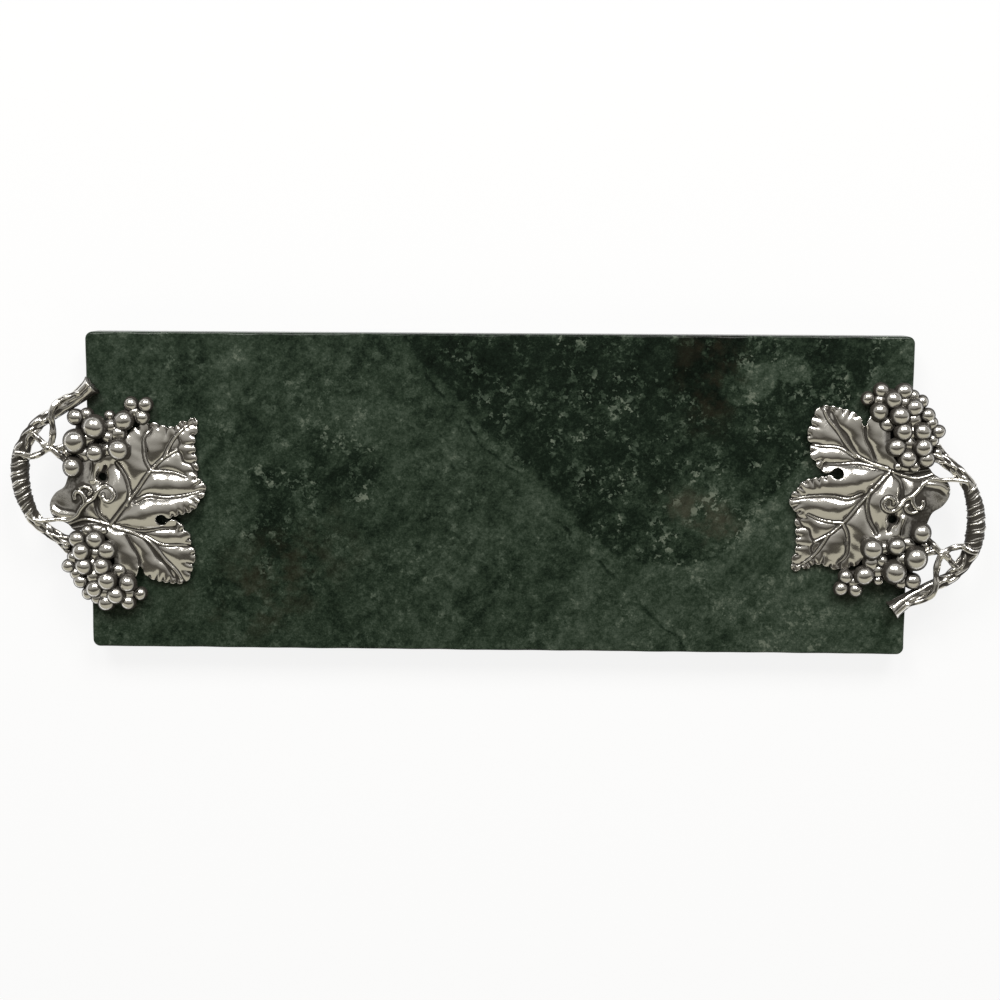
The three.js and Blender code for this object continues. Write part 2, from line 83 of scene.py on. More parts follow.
# Oval patches: middle and half lengths (m), turn in degrees, raggedness and softness of the border.
# Toned patches start with their weight in the tone, stained ones with their colour.
PATCH_NOISE = (45, 5)
DARK_KNOTS = [
    ((-0.089, 0.018), (0.026, 0.017), -30, 1.8, 0.4),
    ((-0.126, -0.014), (0.014, 0.028), -14, 1.8, 0.4)]
PALE_SPOTS = [
    ((0.140, 0.063), (0.017, 0.012), 20, 1.1, 0.12),
    ((0.162, 0.070), (0.011, 0.008), 10, 1.1, 0.12)]
TONED_PATCHES = [
    (-0.05, (0.012, 0.080), (0.070, 0.020), -6, 1.4, 0.4),
    (-0.10, (-0.170, 0.066), (0.011, 0.034), 0, 1.8, 0.6),
    (-0.07, (-0.108, -0.050), (0.070, 0.040), 40, 1.6, 0.8),
    (-0.23, (0.118, 0.074), (0.020, 0.024), 0, 1.3, 0.5),
    (0.16, (0.122, -0.008), (0.026, 0.020), -30, 1.5, 0.6),
    (-0.06, (-0.122, 0.041), (0.032, 0.018), 10, 1.5, 0.8),
    (-0.08, (-0.050, 0.070), (0.050, 0.018), 0, 1.5, 0.8),
    (0.05, (-0.068, -0.016), (0.018, 0.044), 8, 1.5, 0.8),
    (-0.10, (0.004, -0.060), (0.040, 0.026), 12, 1.5, 0.8),
    (0.035, (-0.078, 0.055), (0.048, 0.024), 44, 1.6, 0.8),
    (0.05, (-0.150, 0.070), (0.034, 0.020), 60, 1.6, 0.8),
    (0.02, (-0.216, 0.078), (0.030, 0.024), 0, 1.4, 0.8),
    (0.055, (0.040, -0.058), (0.120, 0.032), 6, 1.4, 0.8)]
STAINED_PATCHES = [
    (MARBLE_BROWN, (0.118, 0.070), (0.018, 0.030), 0, 1.3, 0.5),
    (MARBLE_TAN, (0.113, -0.012), (0.022, 0.012), -30, 1.4, 0.5),
    (MARBLE_BROWN, (-0.130, -0.052), (0.045, 0.022), 30, 1.4, 0.7)]
STAIN_NOISE = (80, 5, 0.6)
STAIN_RANGE = (0.42, 0.66)
STAIN_SHARE = 0.5

# Straight borders: the direction that points inwards, and how far along it the line lies (m); then raggedness
# and softness (m). A direction shorter than 1 makes its own border more ragged and softer.
BORDER_NOISE = (38, 6, 0.6)
BORDER_ROUND = 0.02
DARK_LUMP = [(0.217, 0.208, 0.0066), (-0.777, 0.63, -0.1189), (0, 1, -0.0405)]
LUMP_BORDER = (0.006, 0.0008)
PALE_END = [(0.914, -0.406, 0.159)]
PALE_END_BORDER = (0.012, 0.004)

# Crystal flecks: scales of their cells with the brightness from which a cell is a fleck
FLECK_CELLS = [(300, 0.80), (560, 0.72)]
FLECK_NOISE = (420, 3)
FLECK_RAGGED = 0.006
CLOUD_NOISE = (70, 4, 0.6)
CLOUD_RANGE = (0.36, 0.66)

# The dark seam beside the lump: the direction across it, how far along that it lies, its bends and soft edge
SEAM_ACROSS = (0.7235, 0.694, 0)
SEAM_FAR = 0.0165
SEAM_BEND = 0.030
SEAM_BEND_NOISE = (30, 5)
SEAM_EDGE = (0.0016, 0.0002)
SEAM_BREAK_NOISE = (45, 3)
SEAM_BREAK_RANGE = (0.42, 0.60)

LUMP_TONE = -0.20
LUMP_FLECK_TONE = 0.40
FLECK_TONE = 0.22
SEAM_TONE = -0.22
PALE_TONE = 0.13
PALE_END_TONE = 0.07
PALE_COVER = 0.7
STONE_ROUGH = 0.18
GRAIN_ROUGH = 0.16
STONE_SPECULAR = 0.2
PORE_NOISE = (900, 4, 0.6)
PORE_STRENGTH = 0.06
PORE_DEPTH = 0.0004


def add_piece(name, points, faces, smooth):
    """A mesh of whole arrays: points in metres, and faces as arrays of point numbers, one for each kind."""
    corners = [face for kind in faces for face in kind.tolist()]
    mesh = bpy.data.meshes.new(name)
    mesh.from_pydata(points.tolist(), [], corners)
    mesh.polygons.foreach_set("use_smooth", np.broadcast_to(smooth, len(corners)).astype(bool))
    mesh.update()
    piece = bpy.data.objects.new(name, mesh)
    bpy.context.scene.collection.objects.link(piece)
    return piece


def rounded_edge(half_x, half_y, corner):
    """A rounded rectangle, anticlockwise: a quarter circle at each corner and even points between them.
    Gives each point, the outward direction there and the length walked so far."""
    turn = np.linspace(0, np.pi / 2, CORNER_POINTS)
    stretches = []
    for quarter, (sx, sy) in enumerate([(1, 1), (-1, 1), (-1, -1), (1, -1)]):
        angle = turn + quarter * np.pi / 2
        out = np.column_stack([np.cos(angle), np.sin(angle)])
        arc = np.array([sx * (half_x - corner), sy * (half_y - corner)]) + corner * out
        length = 2 * (half_x - corner) if quarter % 2 == 0 else 2 * (half_y - corner)
        steps = int(length / EDGE_SPACING)
        share = np.arange(1, steps)[:, None] / steps
        along = np.array([-np.sin(angle[-1]), np.cos(angle[-1])])
        stretches.append(np.hstack([arc, out]))
        stretches.append(np.hstack([arc[-1] + share * length * along, np.repeat(out[-1:], steps - 1, 0)]))
    edge = np.vstack(stretches)
    walked = np.cumsum(np.linalg.norm(np.diff(edge[:, :2], axis=0, prepend=edge[-1:, :2]), axis=1))
    return edge[:, :2], edge[:, 2:], walked


def ring_faces(rings):
    """Four-sided faces between neighbouring rings of point numbers that run round the same way."""
    follow = np.roll(rings, -1, axis=1)
    return np.stack([rings[:-1], follow[:-1], follow[1:], rings[1:]], axis=-1).reshape(-1, 4)


def sheet_with_holes(points, outline, circles):
    """A flat face between an outline and round holes, all given as point numbers: the triangles that join
    their points inside the outline, without those whose middle lies in a hole."""
    numbers = np.concatenate([outline, circles.ravel()])
    flat = points[numbers, :2]
    loops = [np.arange(len(outline)), *np.arange(len(outline), len(numbers)).reshape(circles.shape)]
    edges = np.vstack([np.column_stack([loop, np.roll(loop, -1)]) for loop in loops])
    _, _, corners, sources, _, _ = geometry.delaunay_2d_cdt(
        flat.tolist(), edges.tolist(), [], KEEP_INSIDE, SAME_POINT)
    triangles = np.array([source[0] for source in sources])[np.array(corners)]
    centres = points[circles, :2].mean(axis=1)
    reach = np.linalg.norm(points[circles[:, 0], :2] - centres, axis=1)
    apart = np.linalg.norm(flat[triangles].mean(axis=1)[:, None] - centres, axis=2)
    return numbers[triangles[(apart > reach).all(axis=1)]]


def slab_mesh(low, high, places):
    """The slab: rings round the rounded outline climb from the underside over the lower easing, up the side
    and over the upper easing; two flat faces with holes close it, and each hole is a stepped tube."""
    edge, out, walked = rounded_edge((high[0] - low[0]) / 2, (high[1] - low[1]) / 2, SLAB_CORNER)
    slow, slower, quick = (np.sin(walked * wave + phase) for wave, phase in EASE_WAVES)
    ease = SLAB_EASE * (1 + EASE_WANDER * (slow * slower + QUICK_WAVE * quick))
    bend = np.linspace(0, np.pi / 2, EASE_RINGS)
    inset = np.concatenate([1 - np.sin(bend), 1 - np.cos(bend)])[:, None] * ease
    rise = np.concatenate([1 - np.cos(bend), np.sin(bend) - 1])[:, None] * ease
    base = np.repeat([low[2], high[2]], EASE_RINGS)[:, None]
    flat = edge[None] - inset[..., None] * out[None]
    rings = np.concatenate([flat, (base + rise)[..., None]], axis=2)
    turn = np.linspace(0, 2 * np.pi, HOLE_POINTS, endpoint=False)
    spoke = np.column_stack([np.cos(turn), np.sin(turn)])
    shoulder = low[2] + COUNTERBORE_DEPTH
    steps = [(COUNTERBORE_RADIUS, low[2]), (COUNTERBORE_RADIUS, shoulder),
             (SCREW_HOLE_RADIUS, shoulder), (SCREW_HOLE_RADIUS, high[2])]
    holes = np.array([[np.column_stack([place + radius * spoke, np.full(HOLE_POINTS, height)])
                       for radius, height in steps] for place in places])
    points = np.vstack([rings.reshape(-1, 3), holes.reshape(-1, 3)])
    outer = np.arange(rings.size // 3).reshape(rings.shape[:2])
    inner = np.arange(outer.size, len(points)).reshape(holes.shape[:3])
    walls = np.vstack([ring_faces(outer)] + [ring_faces(hole)[:, ::-1] for hole in inner])
    under = sheet_with_holes(points, outer[0], inner[:, 0])[:, ::-1]
    over = sheet_with_holes(points, outer[-1], inner[:, -1])
    smooth = np.repeat([True, False], [len(walls), len(under) + len(over)])
    return points, [walls, under, over], smooth


def fill(tree, node, sockets):
    """Sets a node's sockets by name or number: to a value, or by a link from another socket."""
    for name, value in sockets.items():
        if isinstance(value, bpy.types.NodeSocket):
            tree.links.new(value, node.inputs[name])
        else:
            node.inputs[name].default_value = value


def add_node(tree, kind, sockets, **settings):
    """A shader node with its sockets and settings."""
    made = tree.nodes.new(kind)
    for name, value in settings.items():
        setattr(made, name, value)
    fill(tree, made, sockets)
    return made


def noise(tree, where, scale, detail=4, rough=0.55, warp=0.0):
    """Cloudy noise of a given fineness (1 / metres), from 0 to 1."""
    made = add_node(tree, "ShaderNodeTexNoise", {
        "Vector": where, "Scale": scale, "Detail": detail, "Roughness": rough, "Distortion": warp})
    return made.outputs["Fac"]


def between(tree, value, low, high, smooth=True):
    """0 below one value, 1 above the other, and a smooth or straight rise between them."""
    made = add_node(tree, "ShaderNodeMapRange", {"Value": value, "From Min": low, "From Max": high},
                    interpolation_type="SMOOTHSTEP" if smooth else "LINEAR")
    return made.outputs["Result"]


def maths(tree, operation, *values):
    """The sum, product or other operation of values and sockets."""
    return add_node(tree, "ShaderNodeMath", dict(enumerate(values)), operation=operation).outputs[0]


def scaled(tree, value, factor, start):
    """A value times a factor, plus a start."""
    return maths(tree, "ADD", maths(tree, "MULTIPLY", value, factor), start)


def wandering(tree, field, amount):
    """A noise about zero: its distance from one half, times an amount."""
    return maths(tree, "MULTIPLY", maths(tree, "SUBTRACT", field, 0.5), amount)


def largest(tree, shares):
    """The largest of several shares at each place."""
    most = shares[0]
    for share in shares[1:]:
        most = maths(tree, "MAXIMUM", most, share)
    return most


def painted(tree, share, under, over):
    """One colour laid over another by a share."""
    made = add_node(tree, "ShaderNodeMix", {0: share, 6: under, 7: over}, data_type="RGBA")
    return made.outputs[2]


def colour_ramp(tree, value, stops):
    """The colour at a value between stops of (value, colour), blended straight from stop to stop."""
    ramp = add_node(tree, "ShaderNodeValToRGB", {0: value})
    elements = ramp.color_ramp.elements
    for place, colour in stops[1:-1]:
        elements.new(place).color = colour
    for element, (place, colour) in ((elements[0], stops[0]), (elements[-1], stops[-1])):
        element.position = place
        element.color = colour
    return ramp.outputs[0]


def bumps(tree, height, strength, depth):
    """Fine bumps of a height field, as a normal."""
    made = add_node(tree, "ShaderNodeBump", {"Height": height, "Strength": strength, "Distance": depth})
    return made.outputs["Normal"]


def new_material(name):
    """An empty material with its shader: gives the material, its tree, the shader and Object coordinates."""
    material = bpy.data.materials.new(name)
    material.use_nodes = True
    tree = material.node_tree
    where = tree.nodes.new("ShaderNodeTexCoord").outputs["Object"]
    return material, tree, tree.nodes["Principled BSDF"], where


def laid(tree, where, middle, turn, stretch):
    """Coordinates moved to a middle, turned by an angle in degrees and divided by a stretch."""
    made = add_node(tree, "ShaderNodeMapping", {
        "Vector": where, "Location": (*middle, 0), "Rotation": (0, 0, np.radians(turn)),
        "Scale": (*stretch, 1)}, vector_type="TEXTURE")
    return made.outputs[0]


def patch(tree, where, middle, reach, turn, ragged, soft):
    """An oval patch of the stone, 1 inside and 0 outside, whose border wanders with a cloudy noise."""
    oval = laid(tree, where, middle, turn, reach)
    flat = add_node(tree, "ShaderNodeVectorMath", {0: oval, 1: (1, 1, 0)}, operation="MULTIPLY").outputs[0]
    far = add_node(tree, "ShaderNodeVectorMath", {0: flat}, operation="LENGTH").outputs["Value"]
    wander = wandering(tree, noise(tree, where, *PATCH_NOISE), ragged)
    return between(tree, maths(tree, "ADD", far, wander), 1 + soft, 1 - soft)


def distance_along(tree, where, direction):
    """How far a place lies along a direction from the middle."""
    made = add_node(tree, "ShaderNodeVectorMath", {0: where, 1: direction}, operation="DOT_PRODUCT")
    return made.outputs["Value"]


def bounded(tree, where, borders, ragged, soft):
    """The stone on the inner side of several straight borders, 1 inside and 0 outside: the least distance
    past a border, rounded off where two meet, plus a cloudy noise."""
    wander = wandering(tree, noise(tree, where, *BORDER_NOISE), ragged)
    inside = 1.0
    for across, along, far in borders:
        past = maths(tree, "SUBTRACT", distance_along(tree, where, (across, along, 0)), far)
        inside = maths(tree, "SMOOTH_MIN", inside, past, BORDER_ROUND)
    return between(tree, maths(tree, "ADD", inside, wander), -soft, soft)


def crystal_flecks(tree, where):
    """Pale flecks: the brightest cells of two cell patterns, ragged by a fine noise, in loose clouds."""
    scale, detail = FLECK_NOISE
    shift = add_node(tree, "ShaderNodeTexNoise", {"Vector": where, "Scale": scale, "Detail": detail})
    ragged = add_node(tree, "ShaderNodeVectorMath", {
        0: shift.outputs["Color"], 1: (FLECK_RAGGED,) * 3, 2: where}, operation="MULTIPLY_ADD").outputs[0]
    flecks = []
    for scale, rare in FLECK_CELLS:
        cells = add_node(tree, "ShaderNodeTexVoronoi", {"Vector": ragged, "Scale": scale})
        shade = add_node(tree, "ShaderNodeSeparateColor", {0: cells.outputs["Color"]}).outputs[0]
        flecks.append(between(tree, shade, rare, 1.0))
    clouds = between(tree, noise(tree, where, *CLOUD_NOISE), *CLOUD_RANGE)
    return maths(tree, "MULTIPLY", largest(tree, flecks), clouds)


def dark_seam(tree, where):
    """A thin seam along a straight line that one noise bends and another breaks up."""
    past = maths(tree, "SUBTRACT", distance_along(tree, where, SEAM_ACROSS), SEAM_FAR)
    bent = maths(tree, "ADD", past, wandering(tree, noise(tree, where, *SEAM_BEND_NOISE), SEAM_BEND))
    line = between(tree, maths(tree, "ABSOLUTE", bent), *SEAM_EDGE)
    whole = between(tree, noise(tree, where, *SEAM_BREAK_NOISE), *SEAM_BREAK_RANGE)
    return maths(tree, "MULTIPLY", line, whole)


def green_marble():
    """The stone's tone is the sum of noises from cloud to grain and of places that are darker or paler, among
    them one large dark lump full of flecks. The tone picks the colour, and a few places are stained brown."""
    material, tree, shader, where = new_material("green_marble")
    spread = {name: laid(tree, where, (0, 0), turn, stretch)
              for name, (turn, *stretch) in STONE_LEANS.items()}
    spread["even"] = where
    grain = noise(tree, where, *GRAIN_NOISE)
    layers = [(noise(tree, spread[lean], *kind), weight) for lean, *kind, weight in STONE_NOISES]
    layers.append((grain, GRAIN_TONE))
    pale = largest(tree, [patch(tree, where, *oval) for oval in PALE_SPOTS])
    lump = bounded(tree, where, DARK_LUMP, *LUMP_BORDER)
    lump = largest(tree, [lump] + [patch(tree, where, *oval) for oval in DARK_KNOTS])
    uncovered = maths(tree, "SUBTRACT", 1.0, maths(tree, "MULTIPLY", pale, PALE_COVER))
    lump = maths(tree, "MULTIPLY", lump, uncovered)
    flecks = crystal_flecks(tree, where)
    places = [
        (lump, LUMP_TONE), (maths(tree, "MULTIPLY", flecks, lump), LUMP_FLECK_TONE), (flecks, FLECK_TONE),
        (dark_seam(tree, where), SEAM_TONE), (pale, PALE_TONE),
        (bounded(tree, where, PALE_END, *PALE_END_BORDER), PALE_END_TONE)]
    places += [(patch(tree, where, *oval), weight) for weight, *oval in TONED_PATCHES]
    tone = 0.5 - sum(weight for _, weight in layers) / 2
    for layer, weight in layers + places:
        tone = maths(tree, "ADD", tone, maths(tree, "MULTIPLY", layer, weight))
    colour = colour_ramp(tree, tone, MARBLE_TONES)
    blotched = between(tree, noise(tree, where, *STAIN_NOISE), *STAIN_RANGE)
    blotched = maths(tree, "MULTIPLY", blotched, STAIN_SHARE)
    for tint, *oval in STAINED_PATCHES:
        colour = painted(tree, maths(tree, "MULTIPLY", patch(tree, where, *oval), blotched), colour, tint)
    fill(tree, shader, {
        "Base Color": colour, "Roughness": scaled(tree, grain, GRAIN_ROUGH, STONE_ROUGH),
        "Specular IOR Level": STONE_SPECULAR,
        "Normal": bumps(tree, noise(tree, where, *PORE_NOISE), PORE_STRENGTH, PORE_DEPTH)})
    return material


slab_low, slab_high = np.array(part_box("marble_slab"))
screws = [f"{side}_screw_{number}" for side in ("left", "right") for number in (1, 2)]
screw_places = [np.array(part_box(screw)).mean(axis=0)[:2] for screw in screws]
slab = add_piece("slab", *slab_mesh(slab_low, slab_high, screw_places))
slab.data.materials.append(green_marble())
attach(slab, "root")
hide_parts("marble_slab")

# Four small feet of black rubber are stuck under the slab's corners.
# Each is moulded with a slight draft, a rounded rim and a shallow dish in its underside.
FOOT_DRAFT = 0.001
FOOT_RIM = 0.0007
FOOT_RIM_POINTS = 6
FOOT_TOP_EASE = 0.0002
FOOT_DISH = 0.0004
DISH_SHARES = (0.45, 0.62, 0.72)
FOOT_SIDES = 48
RUBBER_BLACK = (0.018, 0.018, 0.018, 1)
RUBBER_DUSTY = (0.042, 0.041, 0.039, 1)
DUST_NOISE = (260, 4)
DUST_RANGE = (0.5, 0.75)
RUBBER_ROUGH = 0.75
MOULD_NOISE = (2500, 2)
MOULD_STRENGTH = 0.15
MOULD_DEPTH = 0.0002


def tube_faces(rings, sides):
    """Faces of a tube of rings, closed at each end by a fan to one of the two tip points after them."""
    numbers = np.arange(rings * sides).reshape(rings, sides)
    first, last = numbers[0], numbers[-1]
    first_tip, last_tip = np.full((2, sides), numbers.size) + [[0], [1]]
    return [ring_faces(numbers), np.column_stack([first_tip, np.roll(first, -1), first]),
            np.column_stack([last_tip, last, np.roll(last, -1)])]


def turned(profile, sides):
    """A profile of (radius, height) points turned round the upright axis, with a tip point on the axis
    at each end."""
    turn = np.linspace(0, 2 * np.pi, sides, endpoint=False)
    radius, height = profile[:, :1], profile[:, 1:]
    rings = np.stack([radius * np.cos(turn), radius * np.sin(turn), height + 0 * turn], axis=2)
    tips = np.array([[0, 0, profile[0, 1]], [0, 0, profile[-1, 1]]])
    return np.vstack([rings.reshape(-1, 3), tips]), tube_faces(len(profile), sides)


def foot_profile(low, high):
    """A foot's profile from the dish beneath, round the quarter circle of the rim and up the drafted side."""
    top_radius = (high[0] - low[0]) / 2
    tall = high[2] - low[2]
    under_radius = top_radius - FOOT_DRAFT
    bend = np.linspace(0, np.pi / 2, FOOT_RIM_POINTS)
    rim = np.column_stack([under_radius - FOOT_RIM * (1 - np.sin(bend)), FOOT_RIM * (1 - np.cos(bend))])
    dish = np.column_stack([under_radius * np.array(DISH_SHARES), [FOOT_DISH, FOOT_DISH, 0]])
    side = np.array([[top_radius, tall - FOOT_TOP_EASE], [top_radius - FOOT_TOP_EASE, tall]])
    return np.vstack([dish, rim, side])


def black_rubber():
    """Matt black with a little dust and a fine moulded grain."""
    material, tree, shader, where = new_material("foot_rubber")
    dust = between(tree, noise(tree, where, *DUST_NOISE), *DUST_RANGE)
    fill(tree, shader, {
        "Base Color": painted(tree, dust, RUBBER_BLACK, RUBBER_DUSTY), "Roughness": RUBBER_ROUGH,
        "Normal": bumps(tree, noise(tree, where, *MOULD_NOISE), MOULD_STRENGTH, MOULD_DEPTH)})
    return material


rubber = black_rubber()
for number in range(1, 5):
    foot_low, foot_high = np.array(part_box(f"foot_{number}"))
    points, faces = turned(foot_profile(foot_low, foot_high), FOOT_SIDES)
    middle = (foot_low + foot_high) / 2
    foot = add_piece(f"rubber_foot_{number}", points + [middle[0], middle[1], foot_low[2]], faces, True)
    foot.data.materials.append(rubber)
    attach(foot, "root")
    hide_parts(f"foot_{number}")

# Four zinc-plated steel screws with a washer each sit in the counterbores and reach up into the handles.
# They keep their built shape and get a dull plating that is blotched with age.
ZINC_BRIGHT = (0.56, 0.57, 0.58, 1)
ZINC_DULL = (0.34, 0.345, 0.35, 1)
ZINC_NOISE = (420, 4)
ZINC_RANGE = (0.4, 0.65)
ZINC_ROUGH = 0.28
DULL_ROUGH = 0.2


def plated_steel():
    """Plated metal that is duller and darker in blotches of a cloudy noise."""
    material, tree, shader, where = new_material("screw_steel")
    blotch = between(tree, noise(tree, where, *ZINC_NOISE), *ZINC_RANGE)
    fill(tree, shader, {
        "Base Color": painted(tree, blotch, ZINC_BRIGHT, ZINC_DULL),
        "Roughness": scaled(tree, blotch, DULL_ROUGH, ZINC_ROUGH), "Metallic": 1})
    return material


steel = plated_steel()
for name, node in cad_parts.items():
    if "screw" in name or "washer" in name:
        node.data.materials.clear()
        node.data.materials.append(steel)

# Each handle is cast silver: a grape leaf that the screws pull down on the slab carries the rest.
# Both handles come from one pattern, the right one turned half round, and each is set a little out of square.
# The leaf is thin, swells between its veins and is cut into rounded teeth; grime has darkened its hollows.

# Each handle's end of the slab, shift along that end (mm) and turn (degrees); then how tarnished it is
HANDLES = {"left": (-1, -5.0, 1.6), "right": (1, 3.2, 178.4)}
TARNISH = {"left": -0.03, "right": 0.07}
HANDLE_INSET = 29.4
MILLIMETRES = 1000
SEAT_GAP = 0.3

# The leaf's edge in the handle's plane (mm): teeth between notches, the round end of the deep notch, the
# teeth of the lower lobe, the flap and the edge under the grapes; and the small eye
LINE_FINENESS = 40
LEAF_STEP = 0.33
LEAF_FIELD = (-54, 40, -51, 50)
TOOTH_BULGE = 0.27
TOOTH_LEAN = 0.64
TOOTH_POINTS = 8
LEAF_TEETH = [
    (-4, 37.5), (1, 41), (7, 43), (12.5, 41.8), (17, 40), (21, 40.4), (23.5, 41.6), (25.4, 44.2), (28, 42),
    (32.6, 45.4), (33.2, 41.5), (31.4, 36), (30.8, 31), (31.3, 26), (31.7, 21), (32.2, 15.5), (31.4, 11.8),
    (35, 10), (36.2, 4.6), (33.4, 0.8), (32, -1.8), (29.5, -5), (26, -6.3), (22.3, -7), (18.7, -7.9),
    (15.1, -9)]
SINUS_MIDDLE = (12.2, -10.4)
SINUS_RADIUS = 3.2
SINUS_ARC = (25, 335)
SINUS_POINTS = 30
LOWER_TEETH = [
    (15.1, -11.8), (21.1, -12.4), (23.6, -16.6), (26.9, -21.9), (25.9, -26), (28.9, -30.6), (26.8, -36),
    (25.9, -41), (22.3, -46.2), (18, -46.6), (14.2, -45.9), (10.6, -45.2), (7, -44.4), (3.4, -42.6),
    (0.6, -39)]
FLAP_EDGE = [
    (0.6, -39), (-0.4, -37.2), (-1.5, -36.6), (-2.4, -37.4), (-2.9, -39.6), (-4.6, -42.8), (-8.6, -43.8),
    (-12.6, -42.6), (-14.8, -38), (-15.4, -31), (-16, -26), (-18, -20.5), (-23, -16.6)]
FLAP_POINTS = 70
COVERED_EDGE = [
    (-23, -16.6), (-31, -15.6), (-38, -15.2), (-40.5, -12.2), (-45, -9.6), (-48.8, -7.4), (-50.6, -3),
    (-49.6, 1.8), (-46.4, 6), (-41, 9.6), (-39, 14.5), (-37.5, 20), (-32, 26.5), (-22, 32.5), (-12, 36),
    (-4, 37.5)]
COVERED_POINTS = 120
EYE_MIDDLE = (-19.7, 14.2)
EYE_RADIUS = 2.3

# The veins, each with its height at the root and at the tip and its width there.
# A groove runs on either side at a share of the width; its own width is a start and a share of the vein's.
VEIN_ROOT = (-16.7, -12.7)
VEINS = [
    ([VEIN_ROOT, (-7.8, -2.1), (-0.9, 6.3), (7.1, 16.9), (15, 24.2), (22.1, 28.3)], 2.3, 1.2, 0.80, 0.50),
    ([(15, 24.2), (17.8, 29.7), (20.8, 34.6), (26, 40), (30.5, 43.2)], 1.5, 0.7, 0.60, 0.42),
    ([(7.7, 17.1), (14.6, 16.7), (20.9, 15.5), (26.7, 13)], 1.5, 0.7, 0.55, 0.42),
    ([(7.2, 17.9), (4.8, 22.8), (4, 29.2), (4.3, 35), (9, 40.9)], 1.5, 0.6, 0.55, 0.42),
    ([(-1.8, 0.4), (4.3, 3.3), (14.9, 2.2), (29.4, 3.6), (35.3, 5.1)], 1.5, 0.7, 0.60, 0.42),
    ([(-6.7, -2.2), (-5, 4.8), (-6.4, 13.4), (-11.3, 22)], 1.7, 1.2, 0.60, 0.50),
    ([(-16.4, -13), (-8.5, -14.8), (0.6, -16.6), (12.4, -15.5), (19.4, -15.3)], 1.5, 0.6, 0.60, 0.42),
    ([(-14.9, -14.1), (-4.3, -17.3), (3, -21.2), (7.6, -26.2), (13.1, -33.9), (18.7, -40.5), (21.1, -45.4)],
     1.8, 1.4, 0.70, 0.70),
    ([(2.6, -19.6), (10.9, -24.3), (24.3, -25.4), (29, -26.6)], 1.3, 0.6, 0.55, 0.42),
    ([(-18.4, -11.1), (-22, -7.8), (-23.8, -1.3), (-23.3, 3)], 1.3, 0.6, 0.55, 0.45),
    ([(-18.2, -12.3), (-24.6, -10.6), (-31, -9.4), (-39.8, -11.7)], 1.6, 1.4, 0.80, 0.90),
    ([(-20.2, -12.2), (-28.2, -12.1), (-33.4, -13.4), (-38.6, -14.2)], 0.9, 0.7, 0.60, 0.60)]
VEIN_POINTS = 60
VEIN_HOLD = 0.7
GROOVE_DEPTH = 0.30
GROOVE_BESIDE = 1.4
GROOVE_START = 0.15
GROOVE_SHARE = 0.28
GROOVE_ROOT = 0.9
GROOVE_FADE = 0.5

# Raised folds with their width and rise: a petal beside the eye, and the lip of the lobe by the finger gap
RAISED_FOLDS = [
    ([(-24.2, 13), (-23, 17.6), (-22.4, 22.6)], 1.7, 1.8),
    ([(-35.5, -7.4), (-40.5, -6.6), (-45, -5.8), (-48.8, -3.4)], 2.2, 1.6)]

# The folds of the sheet, where it dips without a vein
FOLDS = [
    [(22.7, 36.2), (23.7, 31.5), (22.6, 29.4), (24.5, 25.1), (25.4, 21.9), (28.9, 20.1), (32.8, 13.6)],
    [(1.5, -20.4), (4.4, -25), (8.2, -31.8), (12.3, -35.8), (16.6, -44)],
    [(-17.6, 20), (-19, 17), (-19.7, 14.2), (-19.4, 9.4)],
    [(-8, -19.2), (-5.4, -25), (-2.2, -31), (-1.6, -36)]]
FOLD_POINTS = 40
FOLD_DIP = 0.6
FOLD_WIDTH = 0.7
FOLD_HOLD = 0.3

# The tendril's lines over the leaf, along which grime gathers and painted shade is laid: place, and height
# above the leaf
TENDRIL_LINE = [
    (-61.4, -7, 3.6), (-58.2, -8.6, 5.4), (-54.6, -9.2, 4.2), (-50.5, -9.2, 2), (-45, -8.9, 0.2),
    (-39.8, -9.3, 0), (-34.6, -6.8, 0), (-32.1, -3.3, 0), (-28.9, 0.2, 0), (-24.8, 2.9, 0), (-22.6, 6.1, 0),
    (-20.4, 8.4, 0), (-17.5, 9.4, 0), (-13.9, 7.6, 0), (-12.8, 4.2, 0), (-15.6, 1.2, 0), (-18.6, 2.4, 0),
    (-18.9, 4.9, 0)]
SIDE_CURL = [
    (-28.9, 0.2, 0), (-29.6, 4.3, 0), (-31.4, 6.6, 0), (-33.6, 6.8, 0), (-35, 4.8, 0), (-34.6, 2.2, 0)]
BACK_CURL = [(-32.2, 8.6, 0), (-29.3, 9.5, 0), (-26.5, 8.5, 0), (-25.6, 6.5, 0), (-27.3, 4.9, 0)]

# The leaf's height (mm): rim, crown, the swelling between the veins, a faint ripple, the lobe and the dents
LEAF_RIM = 1.4
LEAF_CROWN = (-8, -3)
LEAF_CROWN_TALL = 3.6
LEAF_SPREAD = 58
LEAF_PILLOW = 13.0
PILLOW_SPAN = 8.0
PILLOW_ROUND = 0.80
PILLOW_SOFT = 2
EDGE_PUSH = 0.1
SWELL_ROUNDS = 1400
MARGIN_FLAT = 0.65
FLAT_FROM = 14
FLAT_SPAN = 32
LEAF_RIPPLE = 0.09
LOBE_MIDDLE = (-44.6, -0.6)
LOBE_REACH = 6.5
LOBE_RISE = -0.5
NOTCH_REACH = 5.0
NOTCH_UNEVEN = 0.5
NOTCH_PHASE = 2.4
NOTCH_WIDTH = 1.1
NOTCH_DENT = 0.8
LEAF_LEAST = 0.6
LEAF_WALL = 3.2
UNDER_SOFT = 30
SHEET_LEAST = 0.4
STEEP_LEAST = 0.5
